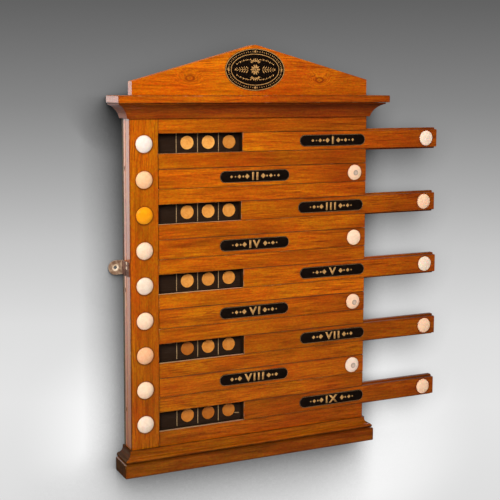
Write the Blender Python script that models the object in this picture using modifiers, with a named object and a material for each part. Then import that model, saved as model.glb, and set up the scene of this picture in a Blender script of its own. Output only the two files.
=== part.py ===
# Wall-hung scoreboard for life pool. Nine name slides run in grooved rails. A slide that
# is pulled out uncovers the lives behind it, and pushing it in covers them again.
# Metres, +Z up, the front faces -Y. The origin is on the wall, in the middle of the
# case's back, level with the middle row.

import math

import bmesh
import bpy
from mathutils import Matrix, Vector

# Clearances
JOINT_GAP = 0.0003          # between pieces that are glued or screwed together
RUN_GAP = 0.0003            # round a slide's tongues in their grooves
FACE_GAP = 0.0006           # the line that shows above and below a slide's face
OVERRUN = 0.002             # how far a cutter passes the surface that it cuts

# Case
ROWS = 9
ROW_PITCH = 0.064
CASE_WIDTH = 0.488
CASE_DEPTH = 0.040
STILE_WIDTH = 0.0545
SIDE_THICK = 0.012
END_RAIL_FACE = 0.027       # what shows of the top and bottom rails

# Rails and slides
SLIDE_FACE = 0.035
LIP_THICK = 0.008           # rail in front of a tongue, and the slide's front strip
TONGUE_THICK = 0.008
TONGUE_REACH = 0.0035       # a tongue's height above and below the slide's face
REAR_LIP_THICK = 0.0034
SLIDE_END_GAP = 0.001       # between a slide that is pushed in and the stile
TRAVEL = 0.170
# How far each slide is pulled out, from the top row down. The even rows are pushed in.
PULLED_SHARES = (0.975, 0, 0.96, 0, 0.99, 0, 1, 0, 1)

# Stop pin behind each slide, and its slot in the back board
PIN_RADIUS = 0.0025
PIN_FROM_END = 0.200        # from the slide's left end
PIN_IN_BOARD = 0.004
PIN_END_GAP = 0.0003        # between the pin and its slot's end at both limits
SLOT_FLOOR_GAP = 0.001

# Name plate, sunk in the slide's face
PLATE_LENGTH = 0.144
PLATE_HEIGHT = 0.022
PLATE_FROM_END = 0.241      # its centre, from the slide's right end
PLATE_THICK = 0.0015
PLATE_SUNK = 0.0010
PLATE_GAP = 0.0003

# Bone knob on each slide
KNOB_RADIUS = 0.0155
KNOB_RIM = 0.0014
KNOB_DOME = 0.0024
KNOB_PEG_RADIUS = 0.005
KNOB_PEG_LENGTH = 0.007
KNOB_FROM_END = 0.026       # from the slide's right end

# Bone button on the stile beside each row
BUTTON_RADIUS = 0.016
BUTTON_RIM = 0.0012
BUTTON_DOME = 0.0050
BUTTON_PEG_RADIUS = 0.006
BUTTON_PEG_LENGTH = 0.009
PEG_GAP = 0.0003            # round each peg, and below it

# Lives behind each slide, on the back board
CELLS = 4                   # cells that a slide uncovers; the first stays blank
CELL_PITCH = 0.0421
LIFE_RADIUS = 0.0125
LIFE_TOP_RADIUS = 0.0122
LIFE_PROUD = 0.0024
DIVIDER_WIDTH = 0.0020
DIVIDER_PROUD = 0.0014

# Cornice
COVE_HEIGHT = 0.0272
COVE_FOOT = 0.0045          # its projection at the bottom
COVE_HEAD = 0.0265          # its projection at the top
COVE_FILLET = 0.0022        # flat band above the hollow
CORNICE_PROJECTION = 0.0315
CORNICE_THICK = 0.0135
CORNICE_EASE = 0.0015
HEAD_SHIFT = 0.0020         # the cornice board and the pediment sit a little to the right

# Pediment. Its right shoulder is taller than its left one.
PEDIMENT_INSET = 0.0035     # in from the case's sides
PEDIMENT_THICK = 0.020
LEFT_SHOULDER_HEIGHT = 0.0245
RIGHT_SHOULDER_HEIGHT = 0.0300
PEAK_HEIGHT = 0.0925
PEAK_ROUND = 0.018
PEDIMENT_EASE = 0.0012

# Plinth
BASE_MOULD_HEIGHT = 0.0207
BASE_MOULD_HEAD = 0.0028    # its projection at the top
BASE_MOULD_FLARE = 0.0105   # its projection where the hollow meets the bead
BASE_MOULD_NOSE = 0.0145    # its projection at the bead
BASE_BEAD_HEIGHT = 0.0075
BASE_FILLET = 0.0022        # flat band above the hollow
PLINTH_PROJECTION = 0.017
PLINTH_HEIGHT = 0.0257
PLINTH_EASE = 0.0022

# Brass hanging plate, folded round the case's left back corner
HANGER_THICK = 0.0020
HANGER_WIDTH = 0.026
HANGER_HOLE_OUT = 0.0148    # the hole's centre, out from the case's side
HANGER_HEIGHT = 0.031       # the hole's centre, above the middle row
HANGER_LEG = 0.037
HANGER_HOLE_RADIUS = 0.0032
HANGER_SINK_RADIUS = 0.0062
HANGER_SINK_DEPTH = 0.0014

# Facets
DISC_SIDES = 24
PEG_SIDES = 12
DOME_STEPS = 4
HOLLOW_STEPS = 7
ROUND_STEPS = 6
PLATE_STEPS = 10
LIFE_SIDES = 24
EASE_STEPS = 2

# Depths, from the front to the wall
FRONT_Y = -CASE_DEPTH
LIP_BACK = FRONT_Y + LIP_THICK
TONGUE_FRONT = LIP_BACK + RUN_GAP
TONGUE_BACK = TONGUE_FRONT + TONGUE_THICK
GROOVE_BACK = TONGUE_BACK + RUN_GAP
RAIL_BACK = GROOVE_BACK + REAR_LIP_THICK
BOARD_FRONT = RAIL_BACK + JOINT_GAP

# Heights
MIDDLE_ROW = (ROWS - 1) / 2
TONGUE_HALF = SLIDE_FACE / 2 + TONGUE_REACH
GROOVE_HALF = TONGUE_HALF + RUN_GAP
FACE_HALF = SLIDE_FACE / 2 + FACE_GAP
CASE_HALF = MIDDLE_ROW * ROW_PITCH + FACE_HALF + END_RAIL_FACE
FRAME_TOP = CASE_HALF + COVE_HEIGHT
FRAME_BOTTOM = -CASE_HALF - BASE_MOULD_HEIGHT
CORNICE_BOTTOM = FRAME_TOP + JOINT_GAP
CORNICE_TOP = CORNICE_BOTTOM + CORNICE_THICK
PLINTH_TOP = FRAME_BOTTOM - JOINT_GAP
PLINTH_BOTTOM = PLINTH_TOP - PLINTH_HEIGHT

# Widths
LEFT_X = -CASE_WIDTH / 2
RIGHT_X = CASE_WIDTH / 2
STILE_RIGHT = LEFT_X + STILE_WIDTH
RAIL_LEFT = STILE_RIGHT + JOINT_GAP
SLIDE_LENGTH = CASE_WIDTH - STILE_WIDTH - SLIDE_END_GAP
BOARD_HALF = CASE_WIDTH / 2 - SIDE_THICK - JOINT_GAP

# Turns that stand a flat outline up
ALONG_X = (math.radians(90), 0, math.radians(90))      # outline in Y and Z, length in X
FACING_FRONT = (math.radians(90), 0, 0)                # outline in X and Z, length in -Y
FACING_BACK = (math.radians(90), 0, math.radians(180)) # outline in -X and Z, length in Y

# What a mitred end gains at the case's face, with a joint's gap across the mitre
MITRE_GROWTH = JOINT_GAP * (1 - math.sqrt(0.5))

WELD_DISTANCE = 0.00001
SHARP_ANGLE = math.radians(35)


def clear_scene():
    for old in list(bpy.data.objects):
        bpy.data.objects.remove(old, do_unlink=True)
    for old in list(bpy.data.collections):
        bpy.data.collections.remove(old)


def new_collection(name):
    group = bpy.data.collections.new(name)
    bpy.context.scene.collection.children.link(group)
    return group


def finish_material(name, colour, roughness, metallic):
    found = bpy.data.materials.get(name)
    if found:
        return found
    made = bpy.data.materials.new(name)
    made.use_nodes = True
    shader = made.node_tree.nodes["Principled BSDF"]
    shader.inputs["Base Color"].default_value = (*colour, 1.0)
    shader.inputs["Roughness"].default_value = roughness
    shader.inputs["Metallic"].default_value = metallic
    made.diffuse_color = (*colour, 1.0)
    return made


def oak():
    return finish_material("golden_oak", (0.42, 0.15, 0.03), 0.35, 0.0)


def dark_oak():
    return finish_material("slide_oak", (0.36, 0.11, 0.025), 0.35, 0.0)


def bone():
    return finish_material("bone", (0.85, 0.70, 0.52), 0.3, 0.0)


def black_lacquer():
    return finish_material("black_lacquer", (0.012, 0.010, 0.010), 0.3, 0.0)


def aged_brass():
    return finish_material("aged_brass", (0.42, 0.25, 0.11), 0.4, 1.0)


def shade_round(mesh):
    mesh.shade_smooth()
    mesh.set_sharp_from_angle(angle=SHARP_ANGLE)


def add_part(name, mesh, material, location=(0, 0, 0), rotation=(0, 0, 0)):
    shade_round(mesh)
    part = bpy.data.objects.new(name, mesh)
    part.location = location
    part.rotation_euler = rotation
    parts.objects.link(part)
    mesh.materials.clear()
    mesh.materials.append(material)
    return part


def add_cutter(name, mesh, location=(0, 0, 0), rotation=(0, 0, 0)):
    shade_round(mesh)
    cutter = bpy.data.objects.new(name, mesh)
    cutter.location = location
    cutter.rotation_euler = rotation
    cutter.hide_render = True
    cutter.display_type = "WIRE"
    cutters.objects.link(cutter)
    return cutter


def join(part, tool, operation):
    step = part.modifiers.new(tool.name, "BOOLEAN")
    step.operation = operation
    step.solver = "EXACT"
    step.object = tool


def ease_edges(part, width):
    ease = part.modifiers.new("eased_edges", "BEVEL")
    ease.width = width
    ease.segments = EASE_STEPS


def box_mesh(name, size):
    bm = bmesh.new()
    bmesh.ops.create_cube(bm, size=1, matrix=Matrix.Diagonal((*size, 1)))
    mesh = bpy.data.meshes.new(name)
    bm.to_mesh(mesh)
    bm.free()
    return mesh


def add_box(name, low, high, material):
    low = Vector(low)
    high = Vector(high)
    return add_part(name, box_mesh(name, high - low), material, (low + high) / 2)


def cylinder_mesh(name, radius, length, sides, top_radius=None):
    bm = bmesh.new()
    top = radius if top_radius is None else top_radius
    bmesh.ops.create_cone(bm, cap_ends=True, segments=sides, radius1=radius, radius2=top, depth=length)
    mesh = bpy.data.meshes.new(name)
    bm.to_mesh(mesh)
    bm.free()
    return mesh


def outline_mesh(name, outline, thickness):
    # A filled flat outline, given half its thickness on each side of its plane.
    curve = bpy.data.curves.new(name, "CURVE")
    curve.dimensions = "2D"
    curve.fill_mode = "BOTH"
    curve.extrude = thickness / 2
    spline = curve.splines.new("POLY")
    spline.points.add(len(outline) - 1)
    for point, (across, up) in zip(spline.points, outline):
        point.co = (across, up, 0, 1)
    spline.use_cyclic_u = True
    holder = bpy.data.objects.new(name, curve)
    cutters.objects.link(holder)
    depsgraph = bpy.context.evaluated_depsgraph_get()
    mesh = bpy.data.meshes.new_from_object(holder.evaluated_get(depsgraph))
    bpy.data.objects.remove(holder)
    bpy.data.curves.remove(curve)
    bm = bmesh.new()
    bm.from_mesh(mesh)
    bmesh.ops.remove_doubles(bm, verts=bm.verts, dist=WELD_DISTANCE)
    bmesh.ops.recalc_face_normals(bm, faces=bm.faces)
    bm.to_mesh(mesh)
    bm.free()
    mesh.name = name
    return mesh


def arc(centre, radius, start, end, steps):
    # Points on a circle between two angles in degrees, both ends included.
    points = []
    for step in range(steps + 1):
        angle = math.radians(start + (end - start) * step / steps)
        points.append((centre[0] + radius * math.cos(angle), centre[1] + radius * math.sin(angle)))
    return points


def stadium(length, height, steps):
    # A bar with half-round ends, centred.
    radius = height / 2
    reach = length / 2 - radius
    return arc((reach, 0), radius, -90, 90, steps) + arc((-reach, 0), radius, 90, 270, steps)


def turned(name, profile, sides, material, location, rotation):
    # A profile spun about its own Z axis, closed at both ends of the axis.
    bm = bmesh.new()
    points = [bm.verts.new((radius, 0, height)) for radius, height in profile]
    for upper, lower in zip(points, points[1:]):
        bm.edges.new((upper, lower))
    mesh = bpy.data.meshes.new(name)
    bm.to_mesh(mesh)
    bm.free()
    part = add_part(name, mesh, material, location, rotation)
    spin = part.modifiers.new("spin", "SCREW")
    spin.axis = "Z"
    spin.steps = sides
    spin.render_steps = sides
    spin.use_merge_vertices = True
    spin.merge_threshold = WELD_DISTANCE
    spin.use_smooth_shade = True
    return part


def domed_profile(radius, rim, dome, peg_radius, peg_length):
    # From the top of the dome, down its side and the rim, to the foot of the peg.
    ball = (radius * radius + dome * dome) / (2 * dome)
    spread = math.asin(radius / ball)
    profile = []
    for step in range(DOME_STEPS + 1):
        angle = spread * step / DOME_STEPS
        profile.append((ball * math.sin(angle), rim + dome - ball * (1 - math.cos(angle))))
    profile[0] = (0, rim + dome)
    profile.append((radius, 0))
    profile.append((peg_radius, 0))
    profile.append((peg_radius, -peg_length))
    profile.append((0, -peg_length))
    return profile


def row_height(row):
    return (MIDDLE_ROW - row) * ROW_PITCH


def slide_left(row):
    return STILE_RIGHT + SLIDE_END_GAP + TRAVEL * PULLED_SHARES[row]


# Case

def make_stile():
    low = (LEFT_X, FRONT_Y, FRAME_BOTTOM)
    stile = add_box("left_stile", low, (STILE_RIGHT, RAIL_BACK, FRAME_TOP), oak())
    for row in range(ROWS):
        bore = cylinder_mesh("button_bore", BUTTON_PEG_RADIUS + PEG_GAP,
                             BUTTON_PEG_LENGTH + PEG_GAP + OVERRUN, PEG_SIDES)
        middle = FRONT_Y + (BUTTON_PEG_LENGTH + PEG_GAP - OVERRUN) / 2
        place = (LEFT_X + STILE_WIDTH / 2, middle, row_height(row))
        join(stile, add_cutter("button_bore_%d" % (row + 1), bore, place, FACING_FRONT), "DIFFERENCE")


def make_sides():
    for name, outer, inner in (("left_side", LEFT_X, LEFT_X + SIDE_THICK),
                               ("right_side", RIGHT_X, RIGHT_X - SIDE_THICK)):
        low = (min(outer, inner), BOARD_FRONT, FRAME_BOTTOM)
        high = (max(outer, inner), 0, FRAME_TOP)
        add_box(name, low, high, oak())


def make_back_board():
    board = add_box("back_board", (-BOARD_HALF, BOARD_FRONT, FRAME_BOTTOM), (BOARD_HALF, 0, FRAME_TOP),
                    black_lacquer())
    window_height = 2 * FACE_HALF
    for row in range(ROWS):
        height = row_height(row)
        slot_length = TRAVEL + 2 * (PIN_RADIUS + PIN_END_GAP)
        slot_width = 2 * (PIN_RADIUS + RUN_GAP)
        slot_depth = PIN_IN_BOARD + SLOT_FLOOR_GAP
        slot = outline_mesh("pin_slot", stadium(slot_length, slot_width, ROUND_STEPS), slot_depth + OVERRUN)
        pin_in = STILE_RIGHT + SLIDE_END_GAP + PIN_FROM_END
        place = (pin_in + TRAVEL / 2, BOARD_FRONT + (slot_depth - OVERRUN) / 2, height)
        join(board, add_cutter("pin_slot_%d" % (row + 1), slot, place, FACING_FRONT), "DIFFERENCE")
        for cell in range(1, CELLS):
            number = (row + 1, cell)
            life = cylinder_mesh("life", LIFE_RADIUS, LIFE_PROUD + OVERRUN, LIFE_SIDES, LIFE_TOP_RADIUS)
            left = STILE_RIGHT + CELL_PITCH * cell
            middle = BOARD_FRONT + (OVERRUN - LIFE_PROUD) / 2
            place = (left + CELL_PITCH / 2, middle, height)
            join(board, add_cutter("life_%d_%d" % number, life, place, FACING_FRONT), "UNION")
            divider = box_mesh("divider", (DIVIDER_WIDTH, DIVIDER_PROUD + OVERRUN, window_height))
            middle = BOARD_FRONT + (OVERRUN - DIVIDER_PROUD) / 2
            place = (left, middle, height)
            join(board, add_cutter("divider_%d_%d" % number, divider, place), "UNION")


def rail_outline(above, below, grooved_above, grooved_below):
    # A rail's section. Heights are measured from the centre of the row beside a groove:
    # `above` is the height of the upper edge, `below` that of the lower edge.
    points = [(FRONT_Y, below), (FRONT_Y, above)]
    if grooved_above:
        floor = above - (GROOVE_HALF - FACE_HALF)
        points += [(LIP_BACK, above), (LIP_BACK, floor), (GROOVE_BACK, floor), (GROOVE_BACK, above)]
    points += [(RAIL_BACK, above), (RAIL_BACK, below)]
    if grooved_below:
        floor = below + (GROOVE_HALF - FACE_HALF)
        points += [(GROOVE_BACK, below), (GROOVE_BACK, floor), (LIP_BACK, floor), (LIP_BACK, below)]
    return points


def add_rail(name, above, below, grooved_above, grooved_below):
    length = RIGHT_X - RAIL_LEFT
    outline = rail_outline(above, below, grooved_above, grooved_below)
    mesh = outline_mesh(name, outline, length)
    add_part(name, mesh, oak(), (RAIL_LEFT + length / 2, 0, 0), ALONG_X)


def make_rails():
    add_rail("top_rail", FRAME_TOP, row_height(0) + FACE_HALF, False, True)
    for row in range(ROWS - 1):
        below = row_height(row + 1) + FACE_HALF
        add_rail("rail_%d" % (row + 1), row_height(row) - FACE_HALF, below, True, True)
    add_rail("bottom_rail", row_height(ROWS - 1) - FACE_HALF, FRAME_BOTTOM, True, False)


# Slides

def slide_outline():
    half = SLIDE_FACE / 2
    return [(FRONT_Y, -half), (FRONT_Y, half), (TONGUE_FRONT, half), (TONGUE_FRONT, TONGUE_HALF),
            (TONGUE_BACK, TONGUE_HALF), (TONGUE_BACK, -TONGUE_HALF), (TONGUE_FRONT, -TONGUE_HALF),
            (TONGUE_FRONT, -half)]


def make_slide(row):
    number = row + 1
    left = slide_left(row)
    height = row_height(row)
    mesh = outline_mesh("slide", slide_outline(), SLIDE_LENGTH)
    slide = add_part("slide_%d" % number, mesh, dark_oak(), (left + SLIDE_LENGTH / 2, 0, height), ALONG_X)

    knob_x = left + SLIDE_LENGTH - KNOB_FROM_END
    bore_depth = KNOB_PEG_LENGTH + PEG_GAP
    bore = cylinder_mesh("knob_bore", KNOB_PEG_RADIUS + PEG_GAP, bore_depth + OVERRUN, PEG_SIDES)
    place = (knob_x, FRONT_Y + (bore_depth - OVERRUN) / 2, height)
    join(slide, add_cutter("knob_bore_%d" % number, bore, place, FACING_FRONT), "DIFFERENCE")
    profile = domed_profile(KNOB_RADIUS, KNOB_RIM, KNOB_DOME, KNOB_PEG_RADIUS, KNOB_PEG_LENGTH)
    turned("slide_knob_%d" % number, profile, DISC_SIDES, bone(),
           (knob_x, FRONT_Y - JOINT_GAP, height), FACING_FRONT)

    plate_x = left + SLIDE_LENGTH - PLATE_FROM_END
    sunk = PLATE_SUNK + JOINT_GAP
    pocket_outline = stadium(PLATE_LENGTH + 2 * PLATE_GAP, PLATE_HEIGHT + 2 * PLATE_GAP, PLATE_STEPS)
    pocket = outline_mesh("plate_pocket", pocket_outline, sunk + OVERRUN)
    place = (plate_x, FRONT_Y + (sunk - OVERRUN) / 2, height)
    join(slide, add_cutter("plate_pocket_%d" % number, pocket, place, FACING_FRONT), "DIFFERENCE")
    plate = outline_mesh("name_plate", stadium(PLATE_LENGTH, PLATE_HEIGHT, PLATE_STEPS), PLATE_THICK)
    place = (plate_x, FRONT_Y + PLATE_SUNK - PLATE_THICK / 2, height)
    add_part("name_plate_%d" % number, plate, black_lacquer(), place, FACING_FRONT)

    pin_length = BOARD_FRONT + PIN_IN_BOARD - TONGUE_BACK
    pin = cylinder_mesh("stop_pin", PIN_RADIUS, pin_length + OVERRUN, PEG_SIDES)
    place = (left + PIN_FROM_END, TONGUE_BACK + (pin_length - OVERRUN) / 2, height)
    join(slide, add_cutter("stop_pin_%d" % number, pin, place, FACING_FRONT), "UNION")


def make_button(row):
    profile = domed_profile(BUTTON_RADIUS, BUTTON_RIM, BUTTON_DOME, BUTTON_PEG_RADIUS, BUTTON_PEG_LENGTH)
    place = (LEFT_X + STILE_WIDTH / 2, FRONT_Y - JOINT_GAP, row_height(row))
    turned("stile_button_%d" % (row + 1), profile, DISC_SIDES, bone(), place, FACING_FRONT)


# Mouldings. A section gives how far each point stands out and how high it is.

def cove_section():
    hollow_top = COVE_HEIGHT - JOINT_GAP - COVE_FILLET
    run = COVE_HEAD - COVE_FOOT
    section = [(0, 0)]
    for step in range(HOLLOW_STEPS + 1):
        angle = math.radians(90) * step / HOLLOW_STEPS
        section.append((COVE_FOOT + run * (1 - math.cos(angle)), hollow_top * math.sin(angle)))
    section.append((COVE_HEAD, COVE_HEIGHT - JOINT_GAP))
    section.append((0, COVE_HEIGHT - JOINT_GAP))
    return section


def base_mould_section():
    # From the top: a flat band, a hollow that flares out, then a bead.
    top = BASE_MOULD_HEIGHT
    hollow_top = top - BASE_FILLET
    hollow_bottom = BASE_BEAD_HEIGHT
    section = [(0, top), (BASE_MOULD_HEAD, top)]
    for step in range(HOLLOW_STEPS + 1):
        angle = math.radians(90) * step / HOLLOW_STEPS
        out = BASE_MOULD_HEAD + (BASE_MOULD_FLARE - BASE_MOULD_HEAD) * (1 - math.cos(angle))
        section.append((out, hollow_top - (hollow_top - hollow_bottom) * math.sin(angle)))
    radius = BASE_BEAD_HEIGHT / 2
    middle = BASE_MOULD_NOSE - radius
    section += arc((middle, radius), radius, 90, -90, HOLLOW_STEPS)
    section.append((0, 0))
    return section


def add_moulding(name, section, bottom, side):
    # A length of moulding round one side of the case, mitred where it meets the next.
    # In the mesh, -X is out from the case and Z runs along the moulding.
    length = CASE_WIDTH if side == "front" else CASE_DEPTH
    outline = [(-out, up) for out, up in section]
    mesh = outline_mesh(name, outline, length)
    for vertex in mesh.vertices:
        growth = -vertex.co.x + MITRE_GROWTH
        if side == "front":
            vertex.co.z += math.copysign(growth, vertex.co.z)
        elif side == "left" and vertex.co.z > 0:
            vertex.co.z += growth
        elif side == "right" and vertex.co.z < 0:
            vertex.co.z -= growth
    turns = {"front": ALONG_X, "left": FACING_FRONT, "right": FACING_BACK}
    places = {
        "front": (0, FRONT_Y - JOINT_GAP, bottom),
        "left": (LEFT_X - JOINT_GAP, FRONT_Y / 2, bottom),
        "right": (RIGHT_X + JOINT_GAP, FRONT_Y / 2, bottom),
    }
    add_part(name, mesh, oak(), places[side], turns[side])


def make_cornice():
    for side in ("front", "left", "right"):
        add_moulding("cove_" + side, cove_section(), CASE_HALF, side)
    out = CASE_WIDTH / 2 + CORNICE_PROJECTION
    low = (HEAD_SHIFT - out, FRONT_Y - CORNICE_PROJECTION, CORNICE_BOTTOM)
    board = add_box("cornice_board", low, (HEAD_SHIFT + out, 0, CORNICE_TOP), oak())
    ease_edges(board, CORNICE_EASE)


def make_pediment():
    half = CASE_WIDTH / 2 - PEDIMENT_INSET
    left_slope = math.degrees(math.atan2(PEAK_HEIGHT - LEFT_SHOULDER_HEIGHT, half))
    right_slope = math.degrees(math.atan2(PEAK_HEIGHT - RIGHT_SHOULDER_HEIGHT, half))
    top = arc((0, PEAK_HEIGHT - PEAK_ROUND), PEAK_ROUND, 90 - right_slope, 90 + left_slope, ROUND_STEPS)
    shoulders = [(half, RIGHT_SHOULDER_HEIGHT)] + top + [(-half, LEFT_SHOULDER_HEIGHT)]
    mesh = outline_mesh("pediment", [(-half, 0), (half, 0)] + shoulders, PEDIMENT_THICK)
    place = (HEAD_SHIFT, FRONT_Y + PEDIMENT_THICK / 2, CORNICE_TOP + JOINT_GAP)
    board = add_part("pediment", mesh, oak(), place, FACING_FRONT)
    ease_edges(board, PEDIMENT_EASE)


def make_plinth():
    for side in ("front", "left", "right"):
        add_moulding("base_moulding_" + side, base_mould_section(), FRAME_BOTTOM, side)
    out = CASE_WIDTH / 2 + PLINTH_PROJECTION
    low = (-out, FRONT_Y - PLINTH_PROJECTION, PLINTH_BOTTOM)
    block = add_box("plinth_block", low, (out, 0, PLINTH_TOP), oak())
    ease_edges(block, PLINTH_EASE)


def make_hanger():
    # The round end lies on the wall, and the leg is screwed to the case's side.
    half = HANGER_WIDTH / 2
    leg_outer = LEFT_X - JOINT_GAP - HANGER_THICK
    reach = leg_outer + HANGER_THICK - (LEFT_X - HANGER_HOLE_OUT)
    outline = arc((0, 0), half, 90, 270, 2 * ROUND_STEPS) + [(reach, -half), (reach, half)]
    mesh = outline_mesh("hanging_plate_left", outline, HANGER_THICK)
    place = (LEFT_X - HANGER_HOLE_OUT, -HANGER_THICK / 2, HANGER_HEIGHT)
    plate = add_part("hanging_plate_left", mesh, aged_brass(), place, FACING_FRONT)

    leg = box_mesh("hanger_leg", (HANGER_THICK, HANGER_LEG, HANGER_WIDTH))
    place = (leg_outer + HANGER_THICK / 2, -HANGER_LEG / 2, HANGER_HEIGHT)
    join(plate, add_cutter("hanger_leg", leg, place), "UNION")

    hole = cylinder_mesh("hanger_hole", HANGER_HOLE_RADIUS, HANGER_THICK + 2 * OVERRUN, 2 * PEG_SIDES)
    place = (LEFT_X - HANGER_HOLE_OUT, -HANGER_THICK / 2, HANGER_HEIGHT)
    join(plate, add_cutter("hanger_hole", hole, place, FACING_FRONT), "DIFFERENCE")
    widening = (HANGER_SINK_RADIUS - HANGER_HOLE_RADIUS) / HANGER_SINK_DEPTH
    mouth = HANGER_SINK_RADIUS + widening * OVERRUN
    depth = HANGER_SINK_DEPTH + OVERRUN
    sink = cylinder_mesh("hanger_sink", HANGER_HOLE_RADIUS, depth, 2 * PEG_SIDES, mouth)
    place = (LEFT_X - HANGER_HOLE_OUT, -HANGER_THICK + (HANGER_SINK_DEPTH - OVERRUN) / 2, HANGER_HEIGHT)
    join(plate, add_cutter("hanger_sink", sink, place, FACING_FRONT), "DIFFERENCE")


clear_scene()
parts = new_collection("billiard_scoreboard")
cutters = new_collection("cutters")
make_stile()
make_sides()
make_back_board()
make_rails()
for slide_row in range(ROWS):
    make_slide(slide_row)
    make_button(slide_row)
make_cornice()
make_pediment()
make_plinth()
make_hanger()
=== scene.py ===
import math
import random

import bmesh
import bpy
from mathutils import Matrix, Vector


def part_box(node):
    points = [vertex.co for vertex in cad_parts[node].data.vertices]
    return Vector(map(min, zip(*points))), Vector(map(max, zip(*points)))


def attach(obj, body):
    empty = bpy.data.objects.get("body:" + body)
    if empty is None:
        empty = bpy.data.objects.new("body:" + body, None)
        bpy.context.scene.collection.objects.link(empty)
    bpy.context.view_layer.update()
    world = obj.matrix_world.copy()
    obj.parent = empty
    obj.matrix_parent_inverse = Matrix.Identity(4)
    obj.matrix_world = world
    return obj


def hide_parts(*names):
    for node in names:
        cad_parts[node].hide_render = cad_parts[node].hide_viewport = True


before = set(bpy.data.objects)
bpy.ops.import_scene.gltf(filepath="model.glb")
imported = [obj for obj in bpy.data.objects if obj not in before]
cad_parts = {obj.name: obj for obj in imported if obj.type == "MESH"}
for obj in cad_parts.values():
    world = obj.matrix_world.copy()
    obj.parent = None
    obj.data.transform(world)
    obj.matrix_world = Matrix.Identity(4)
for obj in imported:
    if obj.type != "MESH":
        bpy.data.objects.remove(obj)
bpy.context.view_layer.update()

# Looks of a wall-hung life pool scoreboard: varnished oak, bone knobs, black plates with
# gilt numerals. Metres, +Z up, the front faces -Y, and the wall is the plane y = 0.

rows = range(1, 10)
chance = random.Random(7)
tiny = 0.000001
quarterTurn = math.radians(90)


# One socket of a node. Arithmetic on it adds the Math nodes.
class Signal:
    def __init__(self, finish, socket):
        self.finish = finish
        self.socket = socket

    def maths(self, operation, *values):
        numbered = dict(enumerate(values))
        return self.finish.node("ShaderNodeMath", {"operation": operation}, numbered)

    def __add__(self, other):
        return self.maths("ADD", self, other)

    def __radd__(self, other):
        return self.maths("ADD", other, self)

    def __sub__(self, other):
        return self.maths("SUBTRACT", self, other)

    def __rsub__(self, other):
        return self.maths("SUBTRACT", other, self)

    def __mul__(self, other):
        return self.maths("MULTIPLY", self, other)

    def __rmul__(self, other):
        return self.maths("MULTIPLY", other, self)

    def __truediv__(self, other):
        return self.maths("DIVIDE", self, other)

    def __pow__(self, other):
        return self.maths("POWER", self, other)

    def sine(self):
        return self.maths("SINE", self)

    def unsigned(self):
        return self.maths("ABSOLUTE", self)

    def rounded(self):
        return self.maths("ROUND", self)

    def atLeast(self, other):
        return self.maths("MAXIMUM", self, other)

    def clamped(self):
        return self.finish.node("ShaderNodeClamp", {}, {"Value": self})

    def between(self, low, high):
        # 0 at low, 1 at high, with soft ends.
        values = {"Value": self, "From Min": low, "From Max": high}
        return self.finish.node("ShaderNodeMapRange", {"interpolation_type": "SMOOTHSTEP"}, values)


# A node tree that is built up by adding nodes to it.
class Finish:
    def __init__(self, name, constants=None, tree=None):
        if tree is None:
            self.block = bpy.data.materials.new(name)
            self.block.use_nodes = True
            tree = self.block.node_tree
        self.tree = tree
        self.shader = tree.nodes.get("Principled BSDF")
        for socket, value in (constants or {}).items():
            self.shader.inputs[socket].default_value = value

    def feed(self, socket, value):
        if isinstance(value, Signal):
            self.tree.links.new(value.socket, socket)
        elif isinstance(value, tuple) and len(value) == 3 and socket.type == "RGBA":
            socket.default_value = (*value, 1)
        else:
            socket.default_value = value

    def node(self, kind, settings, values=None, output=0):
        made = self.tree.nodes.new(kind)
        for name, value in settings.items():
            if name == "stops":
                self.setStops(made.color_ramp.elements, value)
            else:
                setattr(made, name, value)
        for key, value in (values or {}).items():
            self.feed(made.inputs[key], value)
        return Signal(self, made.outputs[output])

    def setStops(self, elements, stops):
        while len(elements) < len(stops):
            elements.new(1)
        for element, (position, colour) in zip(elements, stops):
            element.position = position
            element.color = (*colour, 1)

    def attribute(self, name, output="Fac"):
        return self.node("ShaderNodeAttribute", {"attribute_name": name}, output=output)

    def objectPlace(self):
        return self.node("ShaderNodeTexCoord", {}, output="Object")

    def scaled(self, vector, factors):
        return self.node("ShaderNodeVectorMath", {"operation": "MULTIPLY"}, {0: vector, 1: factors})

    def moved(self, vector, offset):
        return self.node("ShaderNodeVectorMath", {"operation": "ADD"}, {0: vector, 1: offset})

    def noise(self, vector, scale=1.0, detail=2.0, roughness=0.5, distortion=0.0):
        values = {"Vector": vector, "Scale": scale, "Detail": detail, "Roughness": roughness,
                  "Distortion": distortion}
        return self.node("ShaderNodeTexNoise", {}, values)

    def parts(self, vector):
        split = self.node("ShaderNodeSeparateXYZ", {}, {0: vector})
        return [Signal(self, output) for output in split.socket.node.outputs]

    def joined(self, x, y, z):
        return self.node("ShaderNodeCombineXYZ", {}, {0: x, 1: y, 2: z})

    def mix(self, factor, first, second, blend="MIX"):
        settings = {"data_type": "RGBA", "blend_type": blend}
        return self.node("ShaderNodeMix", settings, {0: factor, 6: first, 7: second}, output=2)

    def tinted(self, colour, red, green, blue):
        # The colour with each of its shares multiplied.
        return self.mix(1.0, colour, self.joined(red, green, blue), "MULTIPLY")

    def ramp(self, value, stops):
        return self.node("ShaderNodeValToRGB", {"stops": stops}, {"Fac": value})

    def bump(self, height, distance, strength=1.0):
        values = {"Height": height, "Distance": distance, "Strength": strength}
        self.feed(self.shader.inputs["Normal"], self.node("ShaderNodeBump", {}, values))

    def paint(self, **values):
        for name, value in values.items():
            self.feed(self.shader.inputs[name.replace("_", " ")], value)
        return self.block


# Geometry helpers. A wooden mesh carries "grain", a place in metres with the grain along
# its first value, "wear", which is 1 at a board's edge and 2 on the arris and on a
# moulding holds its darkening, which is mostly painted shade, and "tone", one number for the
# whole board. Turned pieces carry "grain" and "tone" alone.

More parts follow.
